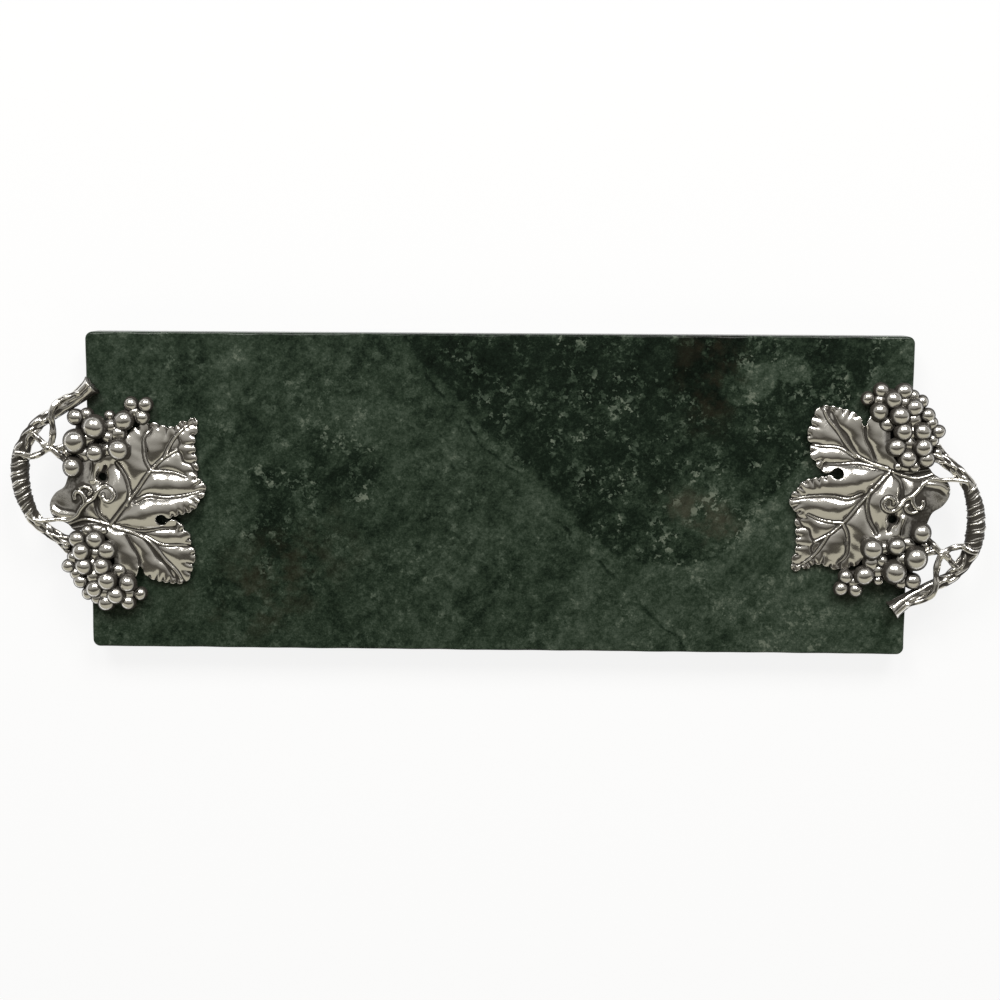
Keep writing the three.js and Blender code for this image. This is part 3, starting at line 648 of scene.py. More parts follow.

# Grime and painted shade: blurred heights that tell hollows, strips of painted shade and grime beside the
# tendril, and two sides with painted shade as (start, span)
NEAR_SOFT = 16
NEAR_FULL = 0.22
WIDE_SOFT = 90
WIDE_SHARE = 0.45
TENDRIL_POINTS = 70
TENDRIL_BESIDE = 1.2
TENDRIL_SHADE = 0.7
LOBE_WORN = 0.7
GROOVE_GRIME_AND_SHADE = 0.9
GAP_PAINTED_SHADE = 0.75
GAP_SIDE = (24, 6)
BUNCH_PAINTED_SHADE = 0.7
BUNCH_SIDES = ((9, 4), (24, 5))
RIDGE_WORN = 1.3
RIDGE_KEEPS = 0.6

# The metal's colour and the dark colour of grime and painted shade, the noise that frays the edge of both,
# and the uneven gloss
SILVER = (0.83, 0.81, 0.77, 1)
PATINA_AND_SHADE_COLOUR = (0.055, 0.050, 0.043, 1)
PATINA_NOISE = (700, 4, 0.6)
PATINA_RAGGED = 0.5
PATINA_RANGE = (0.25, 0.85)
SILVER_ROUGH = 0.10
CLOUD_ROUGH = 0.10
PATINA_ROUGH = 0.32
PATINA_DULL = 0.7
SILVER_SPECULAR = 0.2
CAST_NOISE = (380, 3, 0.5)
CAST_STRENGTH = 0.10
CAST_DEPTH = 0.0006


def smooth_line(stops, count):
    """A smooth line through the stops, as evenly spaced points: on each stretch a cubic whose slopes at its
    ends are the mean slopes there. Columns after the third, such as a radius, are carried along."""
    stops = np.array(stops, float)
    chord = np.concatenate([[0], np.cumsum(np.linalg.norm(np.diff(stops[:, :3], axis=0), axis=1))])
    slope = np.gradient(stops, chord, axis=0)
    fine = np.linspace(0, chord[-1], LINE_FINENESS * len(stops))
    part = np.clip(np.searchsorted(chord, fine, side="right") - 1, 0, len(stops) - 2)
    span = (chord[part + 1] - chord[part])[:, None]
    t = (fine - chord[part])[:, None] / span
    line = ((1 + 2 * t) * (1 - t) ** 2 * stops[part] + t * (1 - t) ** 2 * span * slope[part]
            + t ** 2 * (3 - 2 * t) * stops[part + 1] + t ** 2 * (t - 1) * span * slope[part + 1])
    walked = np.concatenate([[0], np.cumsum(np.linalg.norm(np.diff(line[:, :3], axis=0), axis=1))])
    even = np.linspace(0, walked[-1], count)
    return np.column_stack([np.interp(even, walked, column) for column in line.T])


def teeth(notches):
    """Rounded teeth: between neighbouring notches a curve that is drawn outwards and leans ahead."""
    notches = np.array(notches, float)
    start, end = notches[:-1, None], notches[1:, None]
    along = end - start
    out = np.stack([-along[..., 1], along[..., 0]], axis=-1)
    pull = start + TOOTH_LEAN * along + TOOTH_BULGE * 2 * out
    t = np.linspace(0, 1, TOOTH_POINTS, endpoint=False)[None, :, None]
    return ((1 - t) ** 2 * start + 2 * t * (1 - t) * pull + t ** 2 * end).reshape(-1, 2)


def leaf_edge():
    """The leaf's closed outline, clockwise from its top: teeth, an arc, teeth and two smooth lines."""
    turn = np.radians(np.linspace(*SINUS_ARC, SINUS_POINTS))
    sinus = np.array(SINUS_MIDDLE) + SINUS_RADIUS * np.column_stack([np.cos(turn), np.sin(turn)])
    flap = smooth_line(FLAP_EDGE, FLAP_POINTS)[:-1]
    covered = smooth_line(COVERED_EDGE, COVERED_POINTS)[:-1]
    return np.vstack([teeth(LEAF_TEETH), sinus, teeth(LOWER_TEETH), flap, covered])


def line_distance(x, y, line):
    """The distance of each grid point from a line of straight stretches, and how far along the
    line, as a share of it, the nearest place lies."""
    nearest = np.full(x.shape, np.inf)
    share = np.zeros(x.shape)
    for number, ((x0, y0), (x1, y1)) in enumerate(zip(line[:-1], line[1:])):
        length = (x1 - x0) ** 2 + (y1 - y0) ** 2
        t = np.clip(((x - x0) * (x1 - x0) + (y - y0) * (y1 - y0)) / length, 0, 1)
        far = np.hypot(x - x0 - t * (x1 - x0), y - y0 - t * (y1 - y0))
        share = np.where(far < nearest, (number + t) / (len(line) - 1), share)
        nearest = np.minimum(nearest, far)
    return nearest, share


def depth_inside(x, y, outline):
    """How far each grid point lies inside a closed outline; outside it the distance is negative. A point is
    inside when a line from it to the east crosses the outline an odd number of times."""
    closed = np.vstack([outline, outline[:1]])
    inside = np.zeros(x.shape, bool)
    for (x0, y0), (x1, y1) in zip(closed[:-1], closed[1:]):
        if y0 != y1:
            inside ^= ((y0 > y) != (y1 > y)) & (x < x0 + (y - y0) * (x1 - x0) / (y1 - y0))
    return np.where(inside, 1, -1) * line_distance(x, y, closed)[0]


def bell(far, width):
    """A bell curve: 1 at no distance, and about a third of it at the width."""
    return np.exp(-(far / width) ** 2)


def climb_to_one(value, start, span):
    """0 up to a start, and from there a straight climb to 1 over a span."""
    return np.clip((value - start) / span, 0, 1)


def swell(free, push, span):
    """The height of a skin that is blown up by a push where it is free and held down elsewhere. Round by
    round each point takes its neighbours' mean and a share of the push; span is how far the hold is felt."""
    pull = 4 * (span / LEAF_STEP) ** 2
    height = np.zeros(free.shape)
    for _ in range(SWELL_ROUNDS):
        mean = np.zeros(free.shape)
        mean[1:-1, 1:-1] = (height[2:, 1:-1] + height[:-2, 1:-1] + height[1:-1, 2:] + height[1:-1, :-2]) / 4
        height = np.where(free, (push + pull * mean) / (1 + pull), 0)
    return height


def softened(field, rounds):
    """A field blurred a little in each round: every point takes half of itself and a quarter of each
    neighbour, first up and down and then across."""
    for _ in range(rounds):
        padded = np.pad(field, 1, mode="edge")
        field = (padded[:-2, 1:-1] + 2 * padded[1:-1, 1:-1] + padded[2:, 1:-1]) / 4
        padded = np.pad(field, 1, mode="edge")
        field = (padded[1:-1, :-2] + 2 * padded[1:-1, 1:-1] + padded[1:-1, 2:]) / 4
    return field


def cut_sheet(x, y, depth, top, under, shade):
    """A closed sheet of the grid cells whose middle lies inside an outline. Points on its border are drawn
    onto the outline along the slope of the depth. Upper face, lower face and a rim join into one sheet."""
    middle = (depth[1:, 1:] + depth[1:, :-1] + depth[:-1, 1:] + depth[:-1, :-1]) / 4
    kept = np.pad(middle > 0, 1)
    beside = kept[1:, 1:].astype(int) + kept[1:, :-1] + kept[:-1, 1:] + kept[:-1, :-1]
    border = (beside > 0) & (beside < 4)
    slope_y, slope_x = np.gradient(depth, y[:, 0], x[0])
    steep = np.maximum(np.hypot(slope_x, slope_y), STEEP_LEAST)
    x = np.where(border, x - depth * slope_x / steep ** 2, x)
    y = np.where(border, y - depth * slope_y / steep ** 2, y)
    used = beside > 0
    count = used.sum()
    number = np.full(depth.shape, -1)
    number[used] = np.arange(count)
    cell = kept[1:-1, 1:-1]
    a, b = number[:-1, :-1], number[:-1, 1:]
    c, d = number[1:, 1:], number[1:, :-1]
    upper = np.stack([a, b, c, d], axis=-1)[cell]
    rim = [np.stack([end, start, start + count, end + count], axis=-1)[cell & ~outer]
           for start, end, outer in ((a, b, kept[:-2, 1:-1]), (b, c, kept[1:-1, 2:]),
                                     (c, d, kept[2:, 1:-1]), (d, a, kept[1:-1, :-2]))]
    points = np.vstack([np.column_stack([x[used], y[used], top[used]]),
                        np.column_stack([x[used], y[used], np.minimum(under, top - SHEET_LEAST)[used]])])
    # The lower face is fully dark: painted shade under the sheet
    return points, [upper, upper[:, ::-1] + count, *rim], np.concatenate([shade[used], np.ones(count)])


def vein_relief(x, y):
    """Ridges, grooves and held places over the grid. A vein is a bell-shaped ridge that changes evenly to its
    tip, with a bell-shaped groove on either side; a fold is a groove alone, a raised fold a ridge alone."""
    ridge = np.zeros(x.shape)
    groove = np.zeros(x.shape)
    held = np.zeros(x.shape, bool)
    for stops, root_height, tip_height, root_width, tip_width in VEINS:
        far, share = line_distance(x, y, smooth_line(stops, VEIN_POINTS))
        width = root_width + (tip_width - root_width) * share
        height = root_height + (tip_height - root_height) * share
        ridge = np.maximum(ridge, height * bell(far, width))
        beside = bell(far - GROOVE_BESIDE * width, GROOVE_START + GROOVE_SHARE * width)
        groove = np.maximum(groove, (GROOVE_ROOT - GROOVE_FADE * share) * beside)
        held |= far < VEIN_HOLD * width
    for stops in FOLDS:
        far, _ = line_distance(x, y, smooth_line(stops, FOLD_POINTS))
        groove = np.maximum(groove, FOLD_DIP * bell(far, FOLD_WIDTH))
        held |= far < FOLD_HOLD
    for stops, width, rise in RAISED_FOLDS:
        far, _ = line_distance(x, y, smooth_line(stops, FOLD_POINTS))
        ridge = np.maximum(ridge, rise * bell(far, width))
    return ridge, groove, held


def notch_dents(x, y):
    """Dents that run inwards from the notches between the teeth, square to the line between the neighbouring
    notches and of uneven length: bell-shaped across, and fading evenly along."""
    notches = np.array(LEAF_TEETH[1:-1] + LOWER_TEETH[1:-1])
    before = np.array(LEAF_TEETH[:-2] + LOWER_TEETH[:-2])
    after = np.array(LEAF_TEETH[2:] + LOWER_TEETH[2:])
    inward = np.column_stack([after[:, 1] - before[:, 1], before[:, 0] - after[:, 0]])
    length = NOTCH_REACH * (1 + NOTCH_UNEVEN * np.sin(NOTCH_PHASE * np.arange(len(notches))))[:, None]
    inward = length * inward / np.linalg.norm(inward, axis=1, keepdims=True)
    dent = np.zeros(x.shape)
    for notch, end in zip(notches, notches + inward):
        far, share = line_distance(x, y, [notch, end])
        dent = np.maximum(dent, (1 - share) * bell(far, NOTCH_WIDTH))
    return dent


def leaf_ripple(x, y):
    """The product of two slanting waves, about 9 and 10 mm long, that wander a little."""
    across = np.sin(0.62 * x + 0.31 * y + 1.1 * np.sin(0.23 * y))
    return across * np.sin(0.55 * y - 0.27 * x + np.sin(0.31 * x))


def leaf_patina_and_shade(x, y, top, ridge, groove, lobe):
    """Grime and painted shade from 0 to 1: grime where the face lies below its own blurred height and in the
    grooves; painted contact shadow with grime in strips beside the tendril; painted shade by the finger gap
    and by the small bunch. The veins' backs and the lobe are worn cleaner."""
    hollow = np.clip((softened(top, NEAR_SOFT) - top) / NEAR_FULL, 0, 1)
    hollow += WIDE_SHARE * np.clip(softened(top, WIDE_SOFT) - top, 0, 1)
    # Painted contact shadow, with grime along the soldered seam, in a strip beside each tendril line
    for stops in (TENDRIL_LINE, SIDE_CURL, BACK_CURL):
        far, _ = line_distance(x, y, smooth_line(stops, TENDRIL_POINTS)[:, :2])
        groove = np.maximum(groove, bell(far - TENDRIL_BESIDE, TENDRIL_SHADE))
    worn = 1 - LOBE_WORN * lobe
    # Painted shade on the leaf's side by the finger gap and beside the small bunch
    shaded = GAP_PAINTED_SHADE * climb_to_one(-x, *GAP_SIDE) * worn
    shaded += BUNCH_PAINTED_SHADE * climb_to_one(-x, *BUNCH_SIDES[0]) * climb_to_one(-y, *BUNCH_SIDES[1])
    bright = np.clip(RIDGE_WORN * ridge - RIDGE_KEEPS, 0, 1)
    return np.clip((hollow + GROOVE_GRIME_AND_SHADE * groove * worn + shaded) * (1 - bright), 0, 1)


def leaf_fields():
    """The leaf over a square grid in the handle's plane: depth inside its edge, upper face, lower face, and
    grime with painted shade. The upper face is a rim, a crown, the swelling between the veins and the
    carving, added up."""
    west, east, south, north = LEAF_FIELD
    x, y = np.meshgrid(np.arange(west, east, LEAF_STEP), np.arange(south, north, LEAF_STEP))
    eye = np.hypot(x - EYE_MIDDLE[0], y - EYE_MIDDLE[1]) - EYE_RADIUS
    depth = np.minimum(depth_inside(x, y, leaf_edge()), eye)
    ridge, groove, held = vein_relief(x, y)
    push = np.where(depth > 0, 1, EDGE_PUSH)
    pillow = softened(swell(~(held | (eye <= 0)), push, PILLOW_SPAN), PILLOW_SOFT) ** PILLOW_ROUND
    away = np.hypot(x - LEAF_CROWN[0], y - LEAF_CROWN[1])
    pillow *= 1 - MARGIN_FLAT * climb_to_one(away, FLAT_FROM, FLAT_SPAN)
    crown = np.clip(1 - (away / LEAF_SPREAD) ** 2, 0, 1)
    lobe = bell(np.hypot(x - LOBE_MIDDLE[0], y - LOBE_MIDDLE[1]), LOBE_REACH)
    top = SEAT_GAP + LEAF_RIM + LEAF_CROWN_TALL * crown + LEAF_PILLOW * pillow + LOBE_RISE * lobe
    carved = ridge - GROOVE_DEPTH * groove - NOTCH_DENT * notch_dents(x, y) + LEAF_RIPPLE * leaf_ripple(x, y)
    top = np.maximum(softened(top + (depth > 0) * carved, 1), SEAT_GAP + LEAF_LEAST)
    under = np.maximum(softened(top, UNDER_SOFT) - LEAF_WALL, SEAT_GAP)
    return x, y, depth, top, under, leaf_patina_and_shade(x, y, top, ridge, groove, lobe)


def on_board(points, side):
    """Points of a handle's own plane, in millimetres, set on their end of the slab, in metres."""
    end, shift, angle = HANDLES[side]
    cos, sin = np.cos(np.radians(angle)), np.sin(np.radians(angle))
    swung = points @ np.array([[cos, sin, 0], [-sin, cos, 0], [0, 0, 1]])
    place = [end * (slab_high[0] - HANDLE_INSET / MILLIMETRES), shift / MILLIMETRES, slab_high[2]]
    return swung / MILLIMETRES + place


def antiqued_silver():
    """Polished silver, a little uneven, darkened by a share kept on the points: dark grime where the surface
    lies hollow, and painted shade on lower sides, on the vine's sides and on the leaf beside its neighbours.
    """
    material, tree, shader, where = new_material("antiqued_silver")
    grime_and_shade = add_node(tree, "ShaderNodeAttribute", {}, attribute_name="grime_and_shade").outputs["Fac"]
    cloud = noise(tree, where, *PATINA_NOISE)
    # The darkness kept on the points is grime and painted shade together
    patina_and_shade = between(tree, maths(tree, "ADD", grime_and_shade, wandering(tree, cloud, PATINA_RAGGED)), *PATINA_RANGE)
    rough = scaled(tree, patina_and_shade, PATINA_ROUGH, scaled(tree, cloud, CLOUD_ROUGH, SILVER_ROUGH))
    fill(tree, shader, {
        "Base Color": painted(tree, patina_and_shade, SILVER, PATINA_AND_SHADE_COLOUR), "Roughness": rough,
        "Metallic": maths(tree, "SUBTRACT", 1.0, maths(tree, "MULTIPLY", patina_and_shade, PATINA_DULL)),
        "Specular IOR Level": SILVER_SPECULAR,
        "Normal": bumps(tree, noise(tree, where, *CAST_NOISE), CAST_STRENGTH, CAST_DEPTH)})
    return material


def cast_piece(name, node, points, faces, grime_and_shade):
    """The same casting on both handles, with its grime and painted shade kept on the points and its own
    tarnish added.
    """
    for side in HANDLES:
        piece = add_piece(f"{side}_{name}", on_board(points, side), faces, True)
        kept = piece.data.attributes.new("grime_and_shade", "FLOAT", "POINT")
        kept.data.foreach_set("value", np.clip(grime_and_shade + TARNISH[side], 0, 1).astype(np.float32))
        piece.data.materials.append(silver)
        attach(piece, "root")
        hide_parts(f"{side}_{node}")


silver = antiqued_silver()
leaf_x, leaf_y, leaf_depth, leaf_top, leaf_under, leaf_dark = leaf_fields()
cast_piece("leaf", "grape_leaf", *cut_sheet(leaf_x, leaf_y, leaf_depth, leaf_top, leaf_under, leaf_dark))

# The vine is a thick cast stem that makes the loop of the handle, soldered to the leaf's pieces.
# It starts in a cut, fluted stub, thins under knotty bark and is wound with strands on its outer bend.
VINE_LINE = [
    (-22.8, 65.3, 4.7, 4.8), (-31.4, 58.8, 4.4, 3.9), (-38.9, 53.8, 4.8, 3.4), (-45.8, 49.5, 5.4, 3.4),
    (-52.7, 45.6, 6.2, 3.5), (-57.6, 40.6, 6.8, 3.7), (-61.3, 34.6, 7.2, 4.0), (-64, 28, 7.4, 4.8),
    (-64.8, 21.8, 7.5, 5.2), (-65.1, 14, 7.5, 5.1), (-64.3, 6.2, 7.2, 4.8), (-62.2, -0.8, 6.8, 4.3),
    (-59.8, -6.8, 6.3, 3.9), (-57, -11, 5.8, 3.7), (-52.4, -15.4, 5.3, 3.4), (-47, -18.8, 5, 3.2),
    (-41.6, -20.8, 4.8, 2.8), (-36.4, -21.4, 4.4, 2.4)]
VINE_RINGS = 520
VINE_SIDES = 72
VINE_FLARE = 0.22
FLARE_SHARE = 0.012
CUT_DISH = 1.2
VINE_TIP_GRIME = [0.8, 0.2]

# The wound stretch as shares of the vine's length; a broad strand and a thin one beside it
WOUND_FROM = 0.43
WOUND_TO = 0.78
WOUND_FADE = 8
WOUND_BANDS = 9
WOUND_STRANDS = 2
WOUND_SWAY = 0.9
WOUND_WAVER = 0.3
WOUND_DEPTH = 0.17
BAND_DEPTH = 0.022
BROAD_STRAND = 0.80
BROAD_TALL = 0.80
BROAD_UNEVEN = 0.35
THIN_STRAND = 0.42
THIN_TALL = 0.40
THIN_PLACE = 2.0
STRAND_LEVEL = 0.42

# The stub's flutes, with the share of the length over which they start at the cut end, and the bark
STUB_SHARE = 0.24
FLUTES = 6
FLUTE_TWIST = 1.6
FLUTE_DEPTH = 0.198
FLUTE_LEVEL = 0.66
FLUTE_START = 0.04
FLUTE_LEAST = 0.3
BARK_DEPTH = 0.095
VINE_GRIME = 0.32
VINE_GRIME_AND_SHADE_MOST = 0.95
GRIME_RELIEF = 0.06
GRIME_WOUND = 0.04


def bar(line, radius):
    """A bar along a line: a ring of points square to the line at each of its points, as wide as the radius
    there, which may change round the ring. A tip point in the middle of each end ring closes it."""
    rings, sides = radius.shape
    centre = line[:, :3]
    ahead = np.gradient(centre, axis=0)
    ahead /= np.linalg.norm(ahead, axis=1, keepdims=True)
    across = np.cross([0, 0, 1], ahead)
    across /= np.linalg.norm(across, axis=1, keepdims=True)
    over = np.cross(ahead, across)
    turn = np.linspace(0, 2 * np.pi, sides, endpoint=False)[None, :, None]
    spoke = np.cos(turn) * across[:, None] + np.sin(turn) * over[:, None]
    ring = centre[:, None] + radius[..., None] * spoke
    return np.vstack([ring.reshape(-1, 3), centre[[0, -1]]]), tube_faces(rings, sides)


def wound_strands(wound, turn):
    """Strands laid round the bend, by a winding angle that grows along the vine, falls round it and wavers: a
    broad bell, a thin bell beside it and a low wave, less the level between them."""
    wind = 2 * np.pi * WOUND_BANDS * wound - WOUND_STRANDS * turn
    wind = wind + WOUND_SWAY * np.sin(9 * wound) + WOUND_WAVER * np.sin(3 * turn + 21 * wound)
    off = np.mod(wind, 2 * np.pi) - np.pi
    broad = bell(off, BROAD_STRAND) * (BROAD_TALL + BROAD_UNEVEN * np.sin(13 * wound + turn))
    thin = THIN_TALL * bell(off - THIN_PLACE, THIN_STRAND)
    return WOUND_DEPTH * (broad + thin - STRAND_LEVEL) + BAND_DEPTH * np.cos(wind)


def bark_knots(along, turn):
    """Knotty bark: the sum of three waves along and round the vine, two of which wander."""
    wandering_up = np.cos(3 * turn + 37 * along + 2 * np.sin(2 * turn + 11 * along))
    wandering_down = 0.8 * np.cos(5 * turn - 61 * along + 3 * np.sin(turn - 23 * along))
    return wandering_up + wandering_down + 0.6 * np.cos(97 * along - 2 * turn)


def vine_radius(line):
    """The vine's radius along and round it: flutes on the stub, strands on the bend and bark between them.
    Gives the radius and a darkening: grime, thickest where the relief is low, and painted shade on the vine's
    sides, heavier on one side."""
    along = np.linspace(0, 1, VINE_RINGS)[:, None]
    turn = np.linspace(0, 2 * np.pi, VINE_SIDES, endpoint=False)[None, :]
    wound = climb_to_one(along, WOUND_FROM, WOUND_TO - WOUND_FROM)
    winding = np.clip(WOUND_FADE * wound * (1 - wound), 0, 1)
    stub = np.clip(1 - along / STUB_SHARE, 0, 1) ** 0.5
    flute = np.abs(np.cos(FLUTES * (turn + FLUTE_TWIST * along) / 2)) ** 0.6 - FLUTE_LEVEL
    flute = flute * np.clip(along / FLUTE_START, FLUTE_LEAST, 1)
    bark = np.clip(1 - stub - winding, 0, 1)
    relief = winding * wound_strands(wound, turn) + FLUTE_DEPTH * stub * flute
    relief = relief + BARK_DEPTH * bark * bark_knots(along, turn)
    flare = 1 + VINE_FLARE * np.exp(-along / FLARE_SHARE)
    # Painted shade on the vine's sides, heavier on one of them
    sides = 0.5 * np.abs(np.cos(turn)) ** 3 + 0.5 * np.clip(np.cos(turn), 0, 1) ** 2
    grime_and_shade = VINE_GRIME - relief / (GRIME_RELIEF + GRIME_WOUND * winding) + sides
    return line[:, 3:] * flare * (1 + relief), np.clip(grime_and_shade, 0, VINE_GRIME_AND_SHADE_MOST)


vine_line = smooth_line(VINE_LINE, VINE_RINGS)
vine_reach, vine_patina_and_shade = vine_radius(vine_line)
vine_points, vine_faces = bar(vine_line, vine_reach)
vine_start = vine_line[1, :3] - vine_line[0, :3]
vine_points[-2] += CUT_DISH * vine_start / np.linalg.norm(vine_start)
cast_piece("vine", "vine_stem", vine_points, vine_faces, np.append(vine_patina_and_shade.ravel(), VINE_TIP_GRIME))

# Thin twigs brace the upper corner of the loop: one wraps over the vine, and all meet at one crossing.
# They are cast rods with knots, soldered to the vine at their outer ends.
CROSSING = (-47.6, 31.2, 8.8)
TWIGS = [
    [(-57, 40.2, 8.6), (-52.5, 35.9, 9), CROSSING, (-42.6, 31, 8), (-37.5, 33, 7)],
    [(-66, 29.4, 13), (-62.4, 29, 13.2), (-58.1, 27, 10.4), (-52.3, 28.4, 9), CROSSING, (-42, 26.6, 8),
     (-38, 23, 7)],
    [(-28.7, 61.6, 7.4), (-33.3, 60.1, 7.2), (-38.2, 58.5, 7.6), (-41.9, 56.1, 8.8), (-44.4, 52.2, 10.2),
     (-45, 47.6, 10), (-44.8, 42.3, 9), (-45.4, 36.8, 8.7), CROSSING]]
TWIG_RADIUS = 1.75
TWIG_PHASE = 1.7
TWIG_RINGS = 120
TWIG_SIDES = 24
TWIG_KNOTS = 0.18
TWIG_FURROWS = 0.09
TWIG_END = 0.04
TIP_LEAST = 0.02
TWIG_GRIME = 0.15
TWIG_RELIEF = 0.14
TWIG_UNDER_PAINTED_SHADE = 0.8
TWIG_UNDER_FROM = 0.1
TWIG_TIP_GRIME = [0.5, 0.5]


def joined(shells):
    """Several shells of points, faces and grime with painted shade as one piece."""
    points, faces, grime_and_shade = zip(*shells)
    starts = np.cumsum([0] + [len(part) for part in points])
    shifted = [kind + start for kinds, start in zip(faces, starts) for kind in kinds]
    return np.vstack(points), shifted, np.concatenate(grime_and_shade)


def twig(stops, radius, phase):
    """A rod whose radius has knots, a product of two waves along it, and furrows, a wave that winds round it;
    towards each end it falls like a quarter circle."""
    along = np.linspace(0, 1, TWIG_RINGS)[:, None]
    turn = np.linspace(0, 2 * np.pi, TWIG_SIDES, endpoint=False)[None, :]
    knots = TWIG_KNOTS * np.cos(23 * along + phase) * np.cos(9 * along - phase)
    relief = knots + TWIG_FURROWS * np.cos(5 * turn + 9 * along + phase)
    near_end = np.clip(TWIG_END - np.minimum(along, 1 - along), 0, 1) / TWIG_END
    end = np.sqrt(np.clip(1 - near_end ** 2, TIP_LEAST, 1))
    points, faces = bar(smooth_line(stops, TWIG_RINGS), radius * end * (1 + relief))
    dark = np.clip(TWIG_GRIME - relief / TWIG_RELIEF, 0, 1)
    # Painted shade on the twig's underside
    dark = dark + TWIG_UNDER_PAINTED_SHADE * np.clip(TWIG_UNDER_FROM - np.sin(turn), 0, 1)
    return points, faces, np.append(dark.ravel(), TWIG_TIP_GRIME)


cast_piece("twigs", "vine_twigs", *joined([
    twig(stops, TWIG_RADIUS, TWIG_PHASE * number) for number, stops in enumerate(TWIGS)]))

# A thin tendril runs from the vine over the leaf and ends in a curl, with two more curls beside it.
# It is a tapering silver wire that is soldered down along its length.

# Each wire's line, rings, and radius at its start and at its tip
TENDRIL_WIRES = [(TENDRIL_LINE, 260, 1.35, 0.95), (SIDE_CURL, 90, 1.3, 1.0), (BACK_CURL, 70, 0.8, 0.9)]
TENDRIL_SIDES = 20
TENDRIL_SETTLE = 9
TENDRIL_SUNK = 0.3
TENDRIL_LIFT = 0.55
TENDRIL_END = 0.02
TENDRIL_PAINTED_SHADE = 0.35


def leaf_height(x, y):
    """The leaf's upper face at any place, blended from the four grid points round it."""
    column = np.clip((x - leaf_x[0, 0]) / LEAF_STEP, 0, leaf_x.shape[1] - 2)
    row = np.clip((y - leaf_y[0, 0]) / LEAF_STEP, 0, leaf_x.shape[0] - 2)
    i, j = row.astype(int), column.astype(int)
    s, t = row - i, column - j
    low = leaf_top[i, j] * (1 - t) + leaf_top[i, j + 1] * t
    high = leaf_top[i + 1, j] * (1 - t) + leaf_top[i + 1, j + 1] * t
    return low * (1 - s) + high * s


def wire(stops, rings, thick, thin):
    """A wire laid over the leaf: its line follows the leaf's height, averaged over nearby points, and
    its radius falls evenly to the tip, which is rounded like a quarter circle."""
    line = smooth_line(stops, rings)
    height = leaf_height(line[:, 0], line[:, 1])
    window = 2 * TENDRIL_SETTLE + 1
    settled = np.convolve(np.pad(height, TENDRIL_SETTLE, mode="edge"), np.ones(window) / window, "valid")
    along = np.linspace(0, 1, rings)
    radius = thick + (thin - thick) * along
    line[:, 2] += np.maximum(settled, height - TENDRIL_SUNK * radius) + TENDRIL_LIFT * radius
    near_tip = climb_to_one(along, 1 - TENDRIL_END, TENDRIL_END)
    tip = np.sqrt(np.clip(1 - near_tip ** 2, TIP_LEAST, 1))
    turn = np.linspace(0, 2 * np.pi, TENDRIL_SIDES, endpoint=False)[None, :]
    points, faces = bar(line, (radius * tip)[:, None] + 0 * turn)
    # Painted shade on the wire's lower side
    dark = np.clip(TENDRIL_PAINTED_SHADE - np.sin(turn), 0, 1) + 0 * along[:, None]
    return points, faces, np.append(dark.ravel(), [0, 0])


cast_piece("tendril_wire", "tendril", *joined([wire(*parts) for parts in TENDRIL_WIRES]))

# Two bunches of grapes lie beside the leaf, cast as polished balls on a low backing and soldered on.
# Smaller balls fill the gaps between the big ones, and a thin stalk runs from the vine into the small bunch.

# Each grape's place in the handle's plane, its radius, and the lift of its underside above the slab (mm)
LARGE_BUNCH = [
    (-32.6, 48, 4.3, 0.6), (-21.6, 42.7, 6.1, 2.4), (-32.9, 34.8, 6.3, 1.6), (-21.8, 28.2, 4.7, 4.4),
    (-8.1, 29.9, 5.6, 5), (-35.1, 20.5, 5.2, 3), (-5.6, 45.6, 5.1, 1.4), (4.1, 47, 3.8, 0.4),
    (-1.7, 54.3, 3.8, 0), (6.4, 53.9, 3.8, 0), (-13.9, 48.4, 2.7, 2), (-14.6, 36.8, 3.1, 5),
    (-26.8, 49, 3.6, 0), (-26.4, 36, 4.6, 0), (-28.6, 27.4, 4.2, 0.4), (-15.2, 30, 3.6, 2.4),
    (-9.4, 38.4, 4.4, 0.8), (-0.4, 50, 3.2, 0), (-38.6, 28, 3.2, 0.6), (-13.2, 42.6, 4.0, 0.4)]
LARGE_BACKING = [
    (-33, 47), (-24, 45), (-13, 46.5), (-4, 52.5), (6, 53), (4, 46.5), (-4, 42), (-10, 32), (-21, 26),
    (-34, 18), (-37, 23), (-36, 36)]
SMALL_BUNCH = [
    (-35.4, -20.2, 4.4, 1.6), (-25, -20.3, 4.8, 3), (-32.8, -26.8, 4.9, 3.6), (-18.2, -26.4, 4.8, 3.6),
    (-32, -35.3, 4.6, 3.2), (-21.6, -35.1, 4.7, 4.4), (-41.4, -35.4, 3.6, 1), (-19.1, -43.7, 4.9, 4.2),
    (-8.2, -45.5, 4.6, 2.6), (-26.9, -48.3, 4.6, 2.4), (-35, -44.2, 3.8, 0.8), (-15.2, -52.2, 4.7, 2.4),
    (-2, -52.2, 3.5, 0.4), (-21.1, -56.7, 4.4, 0.2), (-9, -56.8, 4, 0.2), (-31.6, -51.4, 3.4, 0.2),
    (-20.2, -15.6, 2.2, 5.4), (-42, -23.9, 2.2, 2.4), (-25.4, -28.4, 4.4, 0.2), (-27, -41.4, 4.4, 0),
    (-13.4, -38.6, 4.2, 0), (-38.4, -30.6, 3.6, 0), (-37.4, -39.8, 3.6, 0), (-21.6, -50.4, 4.0, 0),
    (-8.6, -51.2, 3.6, 0), (-29.6, -15.8, 3.2, 2), (-26.4, -54.2, 3.4, 0), (-27.2, -34.6, 4.2, 0)]
SMALL_BACKING = [
    (-36, -19), (-26, -18), (-17.5, -25), (-17.5, -36), (-9, -44.5), (-3, -52), (-9, -56.5), (-21, -57),
    (-32, -49), (-40, -36), (-43, -29.4), (-45.4, -24.8), (-43, -20.6)]
